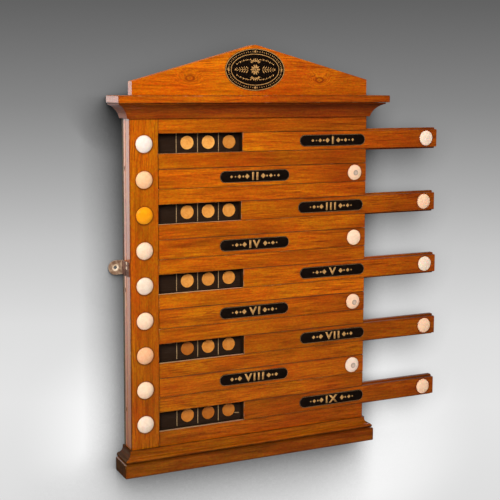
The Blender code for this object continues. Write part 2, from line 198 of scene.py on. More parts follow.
edges = {
    "arrisWidth": 0.0008, "wornWidth": 0.0020, "wornShare": 0.2, "leastFace": 0.003, "shortest": 0.007,
    "leastTurn": math.radians(50), "sameFace": math.radians(1), "level": 0.9999, "stripShare": 0.8,
}


def cleaned(bm):
    # Doubles merged, and the triangles of each flat face made one.
    bmesh.ops.remove_doubles(bm, verts=bm.verts, dist=tiny)
    bmesh.ops.dissolve_limit(bm, angle_limit=edges["sameFace"], verts=bm.verts, edges=bm.edges)
    return bm


def cadCopy(node):
    bm = bmesh.new()
    bm.from_mesh(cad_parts[node].data)
    return cleaned(bm)


def flatGroups(bm):
    # Connected faces that lie in one plane.
    left = set(bm.faces)
    while left:
        first = left.pop()
        group = [first]
        waiting = [first]
        while waiting:
            face = waiting.pop()
            for edge in face.edges:
                for other in edge.link_faces:
                    if other in left and other.normal.dot(first.normal) > edges["level"]:
                        left.discard(other)
                        group.append(other)
                        waiting.append(other)
        yield group


def meanWidth(group):
    # Twice the area over the rim's length, which is a long strip's width.
    inside = set(group)
    rim = [edge for face in group for edge in face.edges
           if any(other not in inside for other in edge.link_faces)]
    return 2 * sum(face.calc_area() for face in group) / sum(edge.calc_length() for edge in rim)


def isRound(group):
    # An outline with an inner corner is too narrow somewhere for a ring.
    return len(group) > 1 or all(loop.is_convex for loop in group[0].loops)


def isSharp(edge):
    return (len(edge.link_faces) == 2 and edge.calc_length() > edges["shortest"]
            and edge.calc_face_angle_signed() > edges["leastTurn"])


def sharpEdges(bm):
    return [edge for edge in bm.edges if isSharp(edge)]


def easeEdges(bm, geom, width, segments=2):
    bmesh.ops.bevel(bm, geom=geom, offset=width, offset_type="OFFSET", segments=segments, profile=0.5,
                    affect="EDGES", clamp_overlap=True, material=-1)
    bm.normal_update()


def ringDepth(group):
    # A ring that is wider than a thin strip at the group's end would fold over.
    depth = min(edges["wornWidth"], meanWidth(group) * edges["wornShare"])
    for face in group:
        width = face.calc_area() / max(edge.calc_length() for edge in face.edges)
        if len(group) > 1 and len(face.verts) == 4 and width < depth:
            depth = width * edges["stripShare"]
    return depth


def soften(bm, ring=True):
    # Rounds the long arrises, and rings each broad face so that wear can fade from its edge.
    easeEdges(bm, sharpEdges(bm), edges["arrisWidth"])
    wear = bm.verts.layers.float.new("wear")
    broad = [group for group in flatGroups(bm) if meanWidth(group) > edges["leastFace"]]
    onBroad = {vert for group in broad for face in group for vert in face.verts}
    for vert in bm.verts:
        vert[wear] = 1 if vert in onBroad else 2
    for group in broad:
        fades = ring and isRound(group)
        if fades:
            bmesh.ops.inset_region(bm, faces=group, thickness=ringDepth(group), use_boundary=True,
                                   use_even_offset=True)
        if fades or not ring:
            for vert in {vert for face in group for vert in face.verts}:
                vert[wear] = 0


def looseObject(bm):
    mesh = bpy.data.meshes.new("loose")
    bm.to_mesh(mesh)
    bm.free()
    holder = bpy.data.objects.new("loose", mesh)
    bpy.context.scene.collection.objects.link(holder)
    return holder


def carved(bm, cutters):
    # The shape with each cutter taken out of it.
    block = looseObject(bm)
    tools = [looseObject(cutter) for cutter in cutters]
    for tool in tools:
        cut = block.modifiers.new("cut", "BOOLEAN")
        cut.operation = "DIFFERENCE"
        cut.solver = "EXACT"
        cut.object = tool
    shaped = bpy.data.meshes.new_from_object(block.evaluated_get(bpy.context.evaluated_depsgraph_get()))
    result = bmesh.new()
    result.from_mesh(shaped)
    # The cut can drop a sliver at a rounded corner.
    bmesh.ops.holes_fill(result, edges=[edge for edge in result.edges if edge.is_boundary], sides=4)
    for holder in [block] + tools:
        bpy.data.objects.remove(holder)
    return result


def markGrain(bm, along, tone=None):
    # along is the axis that the grain follows.
    layer = bm.verts.layers.float_vector.new("grain")
    toneLayer = bm.verts.layers.float.new("tone")
    order = {"X": (0, 2, 1), "Y": (1, 2, 0), "Z": (2, 0, 1)}[along]
    offset = Vector((chance.uniform(-9, 9), chance.uniform(-9, 9), chance.uniform(-9, 9)))
    anyTone = chance.uniform(0.95, 1.05)
    for vert in bm.verts:
        vert[layer] = Vector([vert.co[axis] for axis in order]) + offset
        vert[toneLayer] = tone or anyTone


def pickFaces(bm, isSecond):
    # Gives the faces that the test picks the piece's second finish.
    for face in bm.faces:
        face.material_index = 1 if isSecond(face) else 0


def markFaces(bm, name, isMarked):
    bm.normal_update()
    layer = bm.faces.layers.float.new(name)
    for face in bm.faces:
        face[layer] = 1 if isMarked(face, face.calc_center_median()) else 0


def markTurned(bm, centre, tone=None):
    # "grain" runs from the piece's own centre, so that rings can follow the turning.
    layer = bm.verts.layers.float_vector.new("grain")
    toneLayer = bm.verts.layers.float.new("tone")
    anyTone = chance.uniform(0, 1)
    for vert in bm.verts:
        place = vert.co - Vector(centre)
        vert[layer] = (place.x, place.z, place.y)
        vert[toneLayer] = tone or anyTone


def newPiece(name, bm, finishes, body, stands=(), smooth=None):
    mesh = bpy.data.meshes.new(name)
    bm.to_mesh(mesh)
    bm.free()
    if smooth:
        mesh.shade_smooth()
        mesh.set_sharp_from_angle(angle=math.radians(smooth))
    for finish in finishes if isinstance(finishes, list) else [finishes]:
        mesh.materials.append(finish)
    piece = bpy.data.objects.new(name, mesh)
    bpy.context.scene.collection.objects.link(piece)
    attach(piece, body)
    if stands:
        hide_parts(*stands)
    return piece


def turned(bm, angle, axis, centre=(0, 0, 0)):
    bmesh.ops.rotate(bm, verts=bm.verts, cent=centre, matrix=Matrix.Rotation(angle, 3, axis))
    return bm


def shifted(bm, place):
    bmesh.ops.translate(bm, verts=bm.verts, vec=Vector(place))
    return bm


def extruded(bm, offset):
    # A flat shape that is given depth by moving a copy of it.
    grown = bmesh.ops.extrude_face_region(bm, geom=bm.faces[:])
    moved = [item for item in grown["geom"] if isinstance(item, bmesh.types.BMVert)]
    bmesh.ops.translate(bm, verts=moved, vec=offset)
    bmesh.ops.recalc_face_normals(bm, faces=bm.faces)
    return bm


def blockShape(size):
    bm = bmesh.new()
    bmesh.ops.create_cube(bm, size=1, matrix=Matrix.Diagonal((*size, 1)))
    return bm


def coneShape(sides, top):
    # A low cone one unit high. Its base has a radius of 1.
    bm = bmesh.new()
    bmesh.ops.create_cone(bm, cap_ends=True, segments=sides, radius1=1, radius2=top, depth=1)
    return bm


def turnedShape(profile, steps=64):
    # A profile of (radius, height) spun about Z, top first, then stood up to face -Y.
    bm = bmesh.new()
    points = [bm.verts.new((radius, 0, height)) for radius, height in profile]
    lines = [bm.edges.new(pair) for pair in zip(points, points[1:])]
    bmesh.ops.spin(bm, geom=points + lines, cent=(0, 0, 0), axis=(0, 0, 1), angle=math.tau,
                   steps=steps, use_merge=True)
    bmesh.ops.remove_doubles(bm, verts=bm.verts, dist=tiny)
    turned(bm, quarterTurn, "X")
    bmesh.ops.recalc_face_normals(bm, faces=bm.faces)
    return bm


def merged(shapes):
    # Several shapes as one mesh.
    whole = bmesh.new()
    for shape in shapes:
        carrier = bpy.data.meshes.new("carrier")
        shape.to_mesh(carrier)
        shape.free()
        whole.from_mesh(carrier)
        bpy.data.meshes.remove(carrier)
    return whole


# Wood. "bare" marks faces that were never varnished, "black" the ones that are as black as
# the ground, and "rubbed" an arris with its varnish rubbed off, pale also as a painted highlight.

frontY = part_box("left_stile")[0].y

oakLook = {
    "dark": (0.19, 0.034, 0.0001),
    "middle": (0.40, 0.085, 0.0001),
    "light": (0.60, 0.146, 0.0002),
    "pore": (0.16, 0.022, 0.0008),
    "grimeAndShade": (0.055, 0.012, 0.001),
    "arrisColour": (0.66, 0.27, 0.09),
    # Bare wood is pale, and on the rails' lips this is also a painted highlight.
    "bare": (0.62, 0.34, 0.20),
    "black": (0.016, 0.009, 0.005),
    "grimeShadeShare": 0.42,
    "darkeningNear": None,
    "knots": (),
    "stripes": 1.0,
    "falloffShare": 1.0,
}
redLook = dict(oakLook, dark=(0.19, 0.031, 0.0001), middle=(0.40, 0.074, 0.0001),
               light=(0.60, 0.126, 0.0002))
stileLook = dict(oakLook, middle=(0.40, 0.082, 0.0001), light=(0.60, 0.140, 0.0002),
                 darkeningNear="buttons", stripes=0.75)
slideLook = dict(oakLook, dark=(0.18, 0.032, 0.0001), middle=(0.39, 0.080, 0.0001),
                 light=(0.58, 0.140, 0.0002), bare=(0.26, 0.095, 0.045), arrisColour=(0.30, 0.14, 0.065),
                 darkeningNear="knob")
pedimentLook = dict(oakLook, knots=((-0.128, 0.373), (0.138, 0.371)), grimeShadeShare=0.15)
# The plinth's arrises and edges are dark, partly as painted shade in the gap under the base moulding.
plinthLook = dict(oakLook, dark=(0.10, 0.018, 0.0002), middle=(0.26, 0.055, 0.0003),
                  light=(0.42, 0.098, 0.0004), arrisColour=(0.10, 0.030, 0.008), grimeShadeShare=0.6)
# The cove's oak is darker, as painted shade under the cornice.
coveLook = dict(oakLook, dark=(0.12, 0.018, 0.0001), middle=(0.245, 0.041, 0.0001),
                light=(0.38, 0.074, 0.0002), grimeShadeShare=0.80)
baseLook = dict(oakLook, dark=(0.15, 0.029, 0.0003), middle=(0.35, 0.073, 0.0006),
                light=(0.53, 0.124, 0.0010), grimeShadeShare=1.0)
# The ends of the plinth and base moulding are dark and dull, as painted shade on those end faces.
endLook = dict(oakLook, dark=(0.030, 0.008, 0.001), middle=(0.075, 0.024, 0.006),
               light=(0.13, 0.045, 0.012), grimeShadeShare=0.5)
sideLook = dict(oakLook, falloffShare=0.35)
# The rear strip of each side is dark and dull.
darkRearLook = dict(oakLook, dark=(0.050, 0.036, 0.026), middle=(0.100, 0.074, 0.056),
                light=(0.160, 0.122, 0.092), grimeShadeShare=0.2, falloffShare=0.3)
dustyLook = dict(oakLook, middle=(0.36, 0.085, 0.003), light=(0.50, 0.130, 0.005))

# The grain's patterns, coarse to fine: their scales along and across it, and their shares.
grainLook = {
    "wander": (2.5, 9, 9), "wanderBy": (0.024, 0.014), "patches": (6, 14, 14), "hue": (9, 30, 30),
    "figure": (4, 62, 62), "fret": (60, 160, 160), "bands": (10, 190, 190), "streaks": (24, 540, 540),
    "pores": (75, 2400, 2400), "figureShare": 0.50, "bandsShare": 0.42, "streaksShare": 0.40,
    "patchesShare": 0.40, "hueLow": 0.52, "hueSpread": 0.96,
    "stops": ((0.28, "dark"), (0.50, "middle"), (0.74, "light")),
    "poreSoft": (0.58, 0.68), "poreStreaks": (0.65, 0.35), "poreShare": 0.6,
    "fleckStreaks": (0.475, 0.385), "fleckPatches": (0.40, 0.56), "fleckShare": 0.55,
}
knotLook = {
    "squeeze": 0.6, "radius": 0.0046, "line": (0.0018, 0.0006), "heart": (0.0006, 0.0022),
    "heartShare": 0.6, "swirlReach": 0.020, "swirl": 0.012, "share": 0.75,
}
# Painted shade that darkens the wood towards the scoreboard's foot and its right side: x and z
# are slopes, and "turn" is for x times z.
falloffLook = {"level": 0.975, "x": -0.52, "z": 0.52, "turn": -1.55, "greenX": -0.37, "greenZ": -0.13}
speckLook = {"shadeScale": (230, 430, 430), "hueScale": (160, 330, 330), "shade": 0.60, "hue": 1.05}
grimeShadeLook = {
    "buttonPitch": 0.064, "buttonRadius": 0.0157, "knobRadius": 0.0150, "knobFromEnd": 0.026,
    "ring": 0.0040, "buttonShare": 1.7, "shadowShift": 0.0007, "arris": 0.0045,
    "arrisDepth": (0.0015, 0.0005), "arrisFall": (0.30, -0.10), "arrisLeast": 0.5,
    "handled": 0.17, "handledShare": 0.25,
    "slideHalf": 0.0175, "slideEdge": 0.0030, "slideEdgeShare": 0.75, "chipped": (0.0030, 0.0085),
    "darkerEnd": (0.13, 0.03), "darkerEndShare": 0.7,
    "shadowBelowStrip": (-0.0150, -0.0170), "shadowBelowStripShare": 0.85,
}


wearAndHighlightLook = {
    "rimLeast": 0.3, "ringLeast": 0.4, "smearRagged": 0.10, "arrisSoft": (0.56, 0.66), "arrisShare": 0.7,
    "rubbedSoft": (0.35, 0.60), "rubbedShare": 0.9, "bareLeast": 0.55, "bareStreaks": 0.6,
}
# The varnish is rougher and thinner where there is grime or painted shade, where it is missing and where
# it is painted over.
varnishLook = {
    "rough": 0.34, "roughStreaks": 0.16, "roughGrime": 0.2, "roughBare": 0.15, "roughBlack": 0.2,
    "dull": 0.5, "coat": 0.6, "coatGrime": 0.4, "coatBare": 0.45, "coatBlack": 0.6,
    "raised": 0.35, "depth": 0.00012, "relief": 0.55,
}


def ringMask(across, up, radius):
    # A dark ring round a knob or a button.
    return 1.0 - ((across * across + up * up) ** 0.5).between(radius, radius + grimeShadeLook["ring"])


def buttonShadowAndGrime(finish):
    # Grime and a painted shadow round the buttons, set off to their lower right, and darkening on the
    # stile's outer arris, more so lower down.
    left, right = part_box("left_stile")
    x, y, z = finish.parts(finish.objectPlace())
    pitch = grimeShadeLook["buttonPitch"]
    across = x - (left.x + right.x) / 2 - grimeShadeLook["shadowShift"]
    up = z - (z / pitch).rounded() * pitch + grimeShadeLook["shadowShift"]
    ring = ringMask(across, up, grimeShadeLook["buttonRadius"]) * grimeShadeLook["buttonShare"]
    depths = [left.y + depth for depth in grimeShadeLook["arrisDepth"]]
    rim = (x - left.x).between(grimeShadeLook["arris"], 0.0) * y.between(*depths)
    return ring.atLeast(rim * (z.between(*grimeShadeLook["arrisFall"]) + grimeShadeLook["arrisLeast"]))


def knobGrime(fromEnd, up):
    # Round the knob, and along the slide's long edges.
    ring = ringMask(fromEnd - grimeShadeLook["knobFromEnd"], up, grimeShadeLook["knobRadius"])
    half = grimeShadeLook["slideHalf"]
    rims = up.unsigned().between(half - grimeShadeLook["slideEdge"], half) * grimeShadeLook["slideEdgeShare"]
    return ring.atLeast(rims)


def drawKnots(finish, knots, grain):
    # A mask of the knots, and the grain, which swerves round them.
    x, y, z = finish.parts(finish.objectPlace())
    mask = 0.0
    for knotX, knotZ in knots:
        across = (x - knotX) * knotLook["squeeze"]
        up = z - knotZ
        distance = (across * across + up * up) ** 0.5
        ring = (distance - knotLook["radius"]).unsigned().between(*knotLook["line"])
        mask = ring + (1.0 - distance.between(*knotLook["heart"])) * knotLook["heartShare"] + mask
        swirl = (1.0 - distance.between(0.0, knotLook["swirlReach"])) * knotLook["swirl"]
        grain = finish.moved(grain, finish.joined(0.0, swirl, swirl))
    return mask, grain


def shadedAndSpeckled(finish, colour, grain, tone, look):
    # Painted shade, darker towards the scoreboard's foot and its right side, over the wood's fine specks.
    x, y, z = finish.parts(finish.objectPlace())
    falloff = x * falloffLook["x"] + z * falloffLook["z"] + x * z * falloffLook["turn"]
    falloff = falloff * look["falloffShare"] + falloffLook["level"]
    speck = finish.noise(finish.scaled(grain, speckLook["shadeScale"]), detail=1.0)
    stain = finish.noise(finish.scaled(grain, speckLook["hueScale"]), detail=1.0)
    level = tone * falloff * ((speck - 0.5) * speckLook["shade"] + 1.0)
    green = (stain - 0.5) * speckLook["hue"] + 1.0
    green = green * (x * falloffLook["greenX"] + z * falloffLook["greenZ"] + 1.0)
    return finish.tinted(colour, level, level * green, level)


def woodFinish(name, look, gloss=1.0):
    finish = Finish(name, {"Coat Roughness": 0.16, "Coat IOR": 1.5, "Specular IOR Level": 0.3 * gloss})
    grain = finish.attribute("grain", "Vector")
    wear = finish.attribute("wear")
    tone = finish.attribute("tone")
    bare = finish.attribute("bare")
    black = finish.attribute("black")
    rubbed = finish.attribute("rubbed")

    wander = finish.noise(finish.scaled(grain, grainLook["wander"]), detail=1.0) - 0.5
    sideways, upwards = grainLook["wanderBy"]
    grain = finish.moved(grain, finish.joined(0.0, wander * sideways, wander * upwards))
    if look["knots"]:
        knotMask, grain = drawKnots(finish, look["knots"], grain)

    def pattern(kind, **settings):
        return finish.noise(finish.scaled(grain, grainLook[kind]), **settings)

    figure = pattern("figure", detail=4.0, roughness=0.65, distortion=0.6)
    bands = pattern("bands", detail=3.0, roughness=0.6)
    streaks = pattern("streaks", detail=3.0, roughness=0.65)
    pores = pattern("pores", detail=1.0)
    patches = pattern("patches", detail=2.0)
    hue = pattern("hue", detail=2.0)
    fret = pattern("fret", detail=3.0)

    mixed = 0.50
    for noise, share in [(figure, grainLook["figureShare"] * look["stripes"]),
                         (bands, grainLook["bandsShare"] * look["stripes"]),
                         (streaks, grainLook["streaksShare"] * look["stripes"]),
                         (patches, grainLook["patchesShare"])]:
        mixed = (noise - 0.5) * share + mixed
    colour = finish.ramp(mixed, [(place, look[shade]) for place, shade in grainLook["stops"]])
    colour = finish.tinted(colour, 1.0, grainLook["hueLow"] + hue * grainLook["hueSpread"], 1.0)
    poreMask = pores.between(*grainLook["poreSoft"]) * streaks.between(*grainLook["poreStreaks"])
    colour = finish.mix(poreMask * grainLook["poreShare"], colour, look["pore"])
    flecks = streaks.between(*grainLook["fleckStreaks"]) * patches.between(*grainLook["fleckPatches"])
    colour = finish.mix(flecks * grainLook["fleckShare"], colour, look["pore"])
    if look["knots"]:
        colour = finish.mix(knotMask.clamped() * knotLook["share"], colour, look["pore"])

    # Grime at the boards' edges, which on the mouldings, the plinth and round the buttons is also painted
    # shade.
    grimeAndShade = (wear.clamped() ** 2.0) * (wearAndHighlightLook["rimLeast"] + fret)
    if look["darkeningNear"] == "buttons":
        grimeAndShade = grimeAndShade + buttonShadowAndGrime(finish) * (wearAndHighlightLook["ringLeast"] + fret)
    if look["darkeningNear"] == "knob":
        fromEnd, up, back = finish.parts(finish.attribute("reach", "Vector"))
        grimeAndShade = grimeAndShade + knobGrime(fromEnd, up) * (wearAndHighlightLook["ringLeast"] + fret)
        ragged = fromEnd + (patches - 0.5) * wearAndHighlightLook["smearRagged"]
        smear = 1.0 - ragged.between(0.0, grimeShadeLook["handled"])
        colour = finish.mix(smear * grimeShadeLook["handledShare"], colour, look["pore"])
    grimeAndShade = (grimeAndShade * look["grimeShadeShare"]).clamped()
    colour = finish.mix(grimeAndShade, colour, look["grimeAndShade"])
    # The arrises are pale in patches, as rubbed wood and as a painted highlight.
    arris = (wear - 1.0).clamped()
    chipped = fret.between(*wearAndHighlightLook["arrisSoft"]) * wearAndHighlightLook["arrisShare"]
    colour = finish.mix(arris * chipped, colour, look["arrisColour"])
    plain = (wearAndHighlightLook["bareLeast"] + streaks * wearAndHighlightLook["bareStreaks"]).clamped()
    colour = finish.mix(bare * plain, colour, look["bare"])
    if look["darkeningNear"] == "knob":
        # The tongue has a painted shadow below the front strip and is darker towards its outer end,
        # and the rubbed arris is chipped.
        tongueDarkening = fromEnd.between(*grimeShadeLook["darkerEnd"]) * grimeShadeLook["darkerEndShare"]
        tongueDarkening = tongueDarkening.atLeast(up.between(*grimeShadeLook["shadowBelowStrip"]) * grimeShadeLook["shadowBelowStripShare"])
        colour = finish.mix(tongueDarkening * bare, colour, look["grimeAndShade"])
        rubbed = rubbed * up.unsigned().between(*grimeShadeLook["chipped"])
    # The rubbed arris is pale, as rubbed wood and as a painted highlight.
    scuffed = fret.between(*wearAndHighlightLook["rubbedSoft"]) * wearAndHighlightLook["rubbedShare"]
    colour = finish.mix(rubbed * scuffed, colour, look["arrisColour"])
    colour = shadedAndSpeckled(finish, colour, grain, tone, look)
    colour = finish.mix(black, colour, look["black"])

    rough = varnishLook["rough"] + (1.0 - gloss) * varnishLook["dull"]
    rough = streaks * varnishLook["roughStreaks"] + rough
    coat = varnishLook["coat"]
    for mask, kind in [(grimeAndShade, "Grime"), (bare, "Bare"), (black, "Black")]:
        rough = rough + mask * varnishLook["rough" + kind]
        coat = coat - mask * varnishLook["coat" + kind]
    finish.bump(streaks * varnishLook["raised"] - poreMask, varnishLook["depth"], varnishLook["relief"])
    return finish.paint(Base_Color=colour, Roughness=rough, Coat_Weight=coat.clamped() * gloss)


oak = woodFinish("varnished_oak", oakLook)
redOak = woodFinish("reddish_oak", redLook)
stileOak = woodFinish("stile_oak", stileLook)
slideOak = woodFinish("slide_oak_varnished", slideLook)
pedimentOak = woodFinish("pediment_oak", pedimentLook)
plinthOak = woodFinish("plinth_oak", plinthLook)
coveOak = woodFinish("cove_oak", coveLook, 0.6)
baseOak = woodFinish("base_moulding_oak", baseLook)
endOak = woodFinish("plinth_end_oak", endLook, 0.12)
sideOak = woodFinish("side_oak", sideLook)
darkRearOak = woodFinish("dark_rear_side_oak", darkRearLook, 0.1)
dustyOak = woodFinish("dusty_oak", dustyLook, 0.1)
print("wood finishes made")

# How light each board is beside the others.
boardTones = {
    "left_stile": 0.94, "left_side": 1.25, "right_side": 1.1, "top_rail": 0.94, "bottom_rail": 0.91,
    "cornice_board": 0.82, "pediment": 1.14,
    "rail_1": 0.92, "rail_2": 1.12, "rail_3": 1.09, "rail_4": 1.08, "rail_5": 1.22, "rail_6": 1.09,
    "rail_7": 1.03, "rail_8": 1.04,
    "slide_1": 1.14, "slide_2": 1.10, "slide_3": 1.0, "slide_4": 1.12, "slide_5": 1.16, "slide_6": 1.06,
    "slide_7": 0.92, "slide_8": 1.21, "slide_9": 0.90,
}
grooveLook = {"lipRound": 0.0012, "lipDepth": 0.0083}
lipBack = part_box("slide_1")[0].y + grooveLook["lipDepth"]
darkRearReach = 0.0095


def isInGroove(face, middle):
    return frontY + grooveLook["lipRound"] < middle.y < lipBack - tiny and abs(face.normal.x) < 0.5


def isBehindLip(face, middle):
    return middle.y > lipBack - tiny


def facesUp(face):
    return face.normal.z > 0.5


def facesSideways(face):
    return abs(face.normal.x) > 0.5


def isRearOfSide(face):
    return facesSideways(face) and face.calc_center_median().y > -darkRearReach


# The boards with a second finish, and the faces that have it.
secondFinishes = {
    "cornice_board": (dustyOak, facesUp), "pediment": (dustyOak, facesUp),
    "plinth_block": (endOak, facesSideways),
    "left_side": (darkRearOak, isRearOfSide), "right_side": (darkRearOak, isRearOfSide),
}


def addBoard(node, along, finish):
    board = cadCopy(node)
    if "side" in node:
        bmesh.ops.bisect_plane(board, geom=board.verts[:] + board.edges[:] + board.faces[:], dist=tiny,
                               plane_co=(0, -darkRearReach, 0), plane_no=(0, 1, 0))
    soften(board)
    markGrain(board, along, boardTones.get(node))
    if "rail" in node:
        markFaces(board, "bare", isInGroove)
        markFaces(board, "black", isBehindLip)
    finishes = [finish]
    if node in secondFinishes:
        second, hasSecond = secondFinishes[node]
        finishes.append(second)
        pickFaces(board, hasSecond)
    newPiece(node + "_wood", board, finishes, "case", [node])


for node, along, finish in [
        ("left_stile", "Z", stileOak), ("left_side", "Z", sideOak), ("right_side", "Z", sideOak),
        ("top_rail", "X", oak), ("bottom_rail", "X", redOak), ("cornice_board", "X", redOak),
        ("pediment", "X", pedimentOak), ("plinth_block", "X", plinthOak)]:
    addBoard(node, along, finish)
for number in range(1, len(rows)):
    addBoard("rail_%d" % number, "X", oak)
print("case boards made")

# Mouldings. A section's points are (out from the case, up).

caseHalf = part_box("right_side")[1].x
jointGap = 0.0003

coveShape = {"foot": 0.0045, "fillet": 0.0022, "round": 0.0005, "steps": 18, "flatness": 0.35}
baseShape = {"head": 0.0028, "flare": 0.0105, "bead": 0.0075, "fillet": 0.0022, "steps": 14}
mouldingStock = {"start": -1, "length": 2, "smooth": 35}
mouldingDarkLook = {"coveFall": 0.85, "baseTop": 0.08, "baseFoot": 0.80, "baseMiddle": 0.35}


def hollow(start, end, steps, flatness=0):
    # A quarter ellipse that leaves start straight up or down, or flatter.
    points = []
    for step in range(steps + 1):
        angle = quarterTurn * step / steps
        straight = step / steps
        out = (1 - math.cos(angle)) * (1 - flatness) + straight * flatness
        up = math.sin(angle) * (1 - flatness) + straight * flatness
        points.append((start[0] + (end[0] - start[0]) * out, start[1] + (end[1] - start[1]) * up))
    return points


def coveSection(low, high):
    height = high.z - low.z
    head = (frontY - jointGap - low.y, height - coveShape["fillet"])
    foot = (coveShape["foot"], coveShape["round"])
    section = [(0, 0), (foot[0] - coveShape["round"], 0)]
    section += hollow(foot, head, coveShape["steps"], coveShape["flatness"])
    return section + [(head[0], height), (0, height)]


def baseSection(low, high):
    height = high.z - low.z
    nose = frontY - jointGap - low.y
    radius = baseShape["bead"] / 2
    neck = (baseShape["head"], height - baseShape["fillet"])
    section = [(0, height), (baseShape["head"], height)]
    section += hollow(neck, (baseShape["flare"], baseShape["bead"]), baseShape["steps"])
    for step in range(baseShape["steps"] + 1):
        angle = math.radians(90 - 180 * step / baseShape["steps"])
        section.append((nose - radius + radius * math.cos(angle), radius + radius * math.sin(angle)))
    return section + [(0, 0)]


def extrudedAlongX(outline, start, length):
    # outline holds (y, z) pairs.
    bm = bmesh.new()
    bm.faces.new([bm.verts.new((start, y, z)) for y, z in outline])
    return extruded(bm, (length, 0, 0))


def mouldingCuts(side, corner):
    # The plane of each cut that shapes the moulding's ends, and the way out of it.
    cuts = []
    if side != "front":
        cuts.append((Vector((0, 0, 0)), Vector((0, 1, 0))))
    for sign, end in ((-1, "left"), (1, "right")):
        if side in ("front", end):
            mitre = Vector((sign, 1, 0)).normalized() * (1 if side == "front" else -1)
            cuts.append((Vector((sign * corner[0], corner[1], 0)) - mitre * jointGap / 2, mitre))
    return cuts


def addMoulding(family, side, makeSection, finish, darkness):
    node = family + "_" + side
    low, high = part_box(node)
    frontFace = frontY - jointGap
    reach = caseHalf + jointGap
    section = makeSection(*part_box(family + "_front"))
    outline = [(frontFace - out, low.z + up) for out, up in section]
    bm = extrudedAlongX(outline, mouldingStock["start"], mouldingStock["length"])
    if side != "front":
        # Turned about the corner, so that it runs back to the wall.
        sign = -1 if side == "left" else 1
        turned(bm, quarterTurn * sign, "Z", (sign * reach, frontFace, 0))
    for place, normal in mouldingCuts(side, (reach, frontFace)):
        cut = bmesh.ops.bisect_plane(bm, geom=bm.verts[:] + bm.edges[:] + bm.faces[:], dist=tiny,
                                     plane_co=place, plane_no=normal, clear_outer=True)
        rim = [item for item in cut["geom_cut"] if isinstance(item, bmesh.types.BMEdge)]
        bmesh.ops.holes_fill(bm, edges=rim)
    bmesh.ops.recalc_face_normals(bm, faces=bm.faces)
    wear = bm.verts.layers.float.new("wear")
    for vert in bm.verts:
        vert[wear] = darkness((high.z - vert.co.z) / (high.z - low.z))
    markGrain(bm, "X" if side == "front" else "Y")
    newPiece(node + "_wood", bm, finish, "case", [node], smooth=mouldingStock["smooth"])


# On the mouldings: the cove darkens towards its top, a painted shade under the cornice, and
# the base moulding is dark at its foot, a painted shade in the groove above the plinth, dark at
# its top as well, and a little darker between. depth is 0 at its top and 1 at its foot.
def coveShade(depth):
    return max(0, 1 - depth * mouldingDarkLook["coveFall"])


def baseShadeAndDirt(depth):
    isAtEdge = depth < mouldingDarkLook["baseTop"] or depth > mouldingDarkLook["baseFoot"]
    return 1 if isAtEdge else mouldingDarkLook["baseMiddle"]


for side in ("front", "left", "right"):
    addMoulding("cove", side, coveSection, coveOak, coveShade)
    addMoulding("base_moulding", side, baseSection, baseOak if side == "front" else endOak, baseShadeAndDirt)
print("mouldings made")

# Flat shapes that are given a depth and stood up


def stadiumShape(length, height, steps):
    # A disc, half a step round so that no point lies on its middle line, pulled apart.
    bm = bmesh.new()
    bmesh.ops.create_circle(bm, cap_ends=True, radius=height / 2, segments=steps)
    turned(bm, math.pi / steps, "Z")
    for sign in (-1, 1):
        half = [vert for vert in bm.verts if vert.co.x * sign > 0]
        bmesh.ops.translate(bm, verts=half, vec=(sign * (length - height) / 2, 0, 0))
    return bm


def thickened(bm, depth):
    # The flat shape is the front. It is given depth towards -Z.
    return extruded(bm, (0, 0, -depth))


def bandOf(bm, width):
    # A flat shape's outer band alone.
    band = bmesh.ops.inset_region(bm, faces=bm.faces[:], thickness=width, use_boundary=True,
                                  use_even_offset=True)["faces"]
    bmesh.ops.delete(bm, geom=[each for each in bm.faces if each not in band], context="FACES")
    return bm


def frontRim(bm):
    return [edge for edge in bm.edges if all(vert.co.z > -tiny for vert in edge.verts)]


def stoodUp(bm, place):
    # From lying face up to facing the front.
    return shifted(turned(bm, quarterTurn, "X"), place)


def discShape(radius, sides, place, thick):
    bm = bmesh.new()
    bmesh.ops.create_circle(bm, cap_ends=True, radius=radius, segments=sides)
    return shifted(thickened(bm, thick), place)


# Slides: a front strip between the rails' lips, and a taller tongue behind it

slideShape = {
    "stripDepth": 0.0083, "tongueDepth": 0.0080, "reveal": 0.0035, "cornerRound": 0.0020,
    "rubbedEdge": 0.0013, "plateGap": 0.0003, "plateSunk": 0.0013, "overrun": 0.002,
    "boreRadius": 0.0053, "boreDepth": 0.0073, "boreSides": 24,
    "pinRadius": 0.0025, "pinFromEnd": 0.200, "pinSides": 16,
}
plateLook = {"edge": 0.0004, "line": 0.0004, "lineInset": 0.0001, "steps": 48}


def slideBody(low, high):
    strip = low.y + slideShape["stripDepth"]
    back = strip + slideShape["tongueDepth"]
    inner = (low.z + slideShape["reveal"], high.z - slideShape["reveal"])
    outline = [(low.y, inner[0]), (low.y, inner[1]), (strip, inner[1]), (strip, high.z),
               (back, high.z), (back, low.z), (strip, low.z), (strip, inner[0])]
    bm = extrudedAlongX(outline, low.x, high.x - low.x)
    corners = [edge for edge in sharpEdges(bm)
               if all(vert.co.x > high.x - tiny for vert in edge.verts)
               and abs(edge.verts[0].co.z - edge.verts[1].co.z) < tiny]
    easeEdges(bm, corners, slideShape["cornerRound"], 3)
    rubbed = [edge for edge in sharpEdges(bm)
              if all(vert.co.x < low.x + tiny and vert.co.y < low.y + tiny for vert in edge.verts)]
    easeEdges(bm, rubbed, slideShape["rubbedEdge"], 1)
    soften(bm, ring=False)
    return bm, back


def platePocket(number, front, middle):
    low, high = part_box("name_plate_%d" % number)
    growth = 2 * slideShape["plateGap"]
    over = slideShape["overrun"]
    outline = stadiumShape(high.x - low.x + growth, high.z - low.z + growth, plateLook["steps"])
    pocket = thickened(outline, slideShape["plateSunk"] + over)
    return stoodUp(pocket, ((low.x + high.x) / 2, front - over, middle))


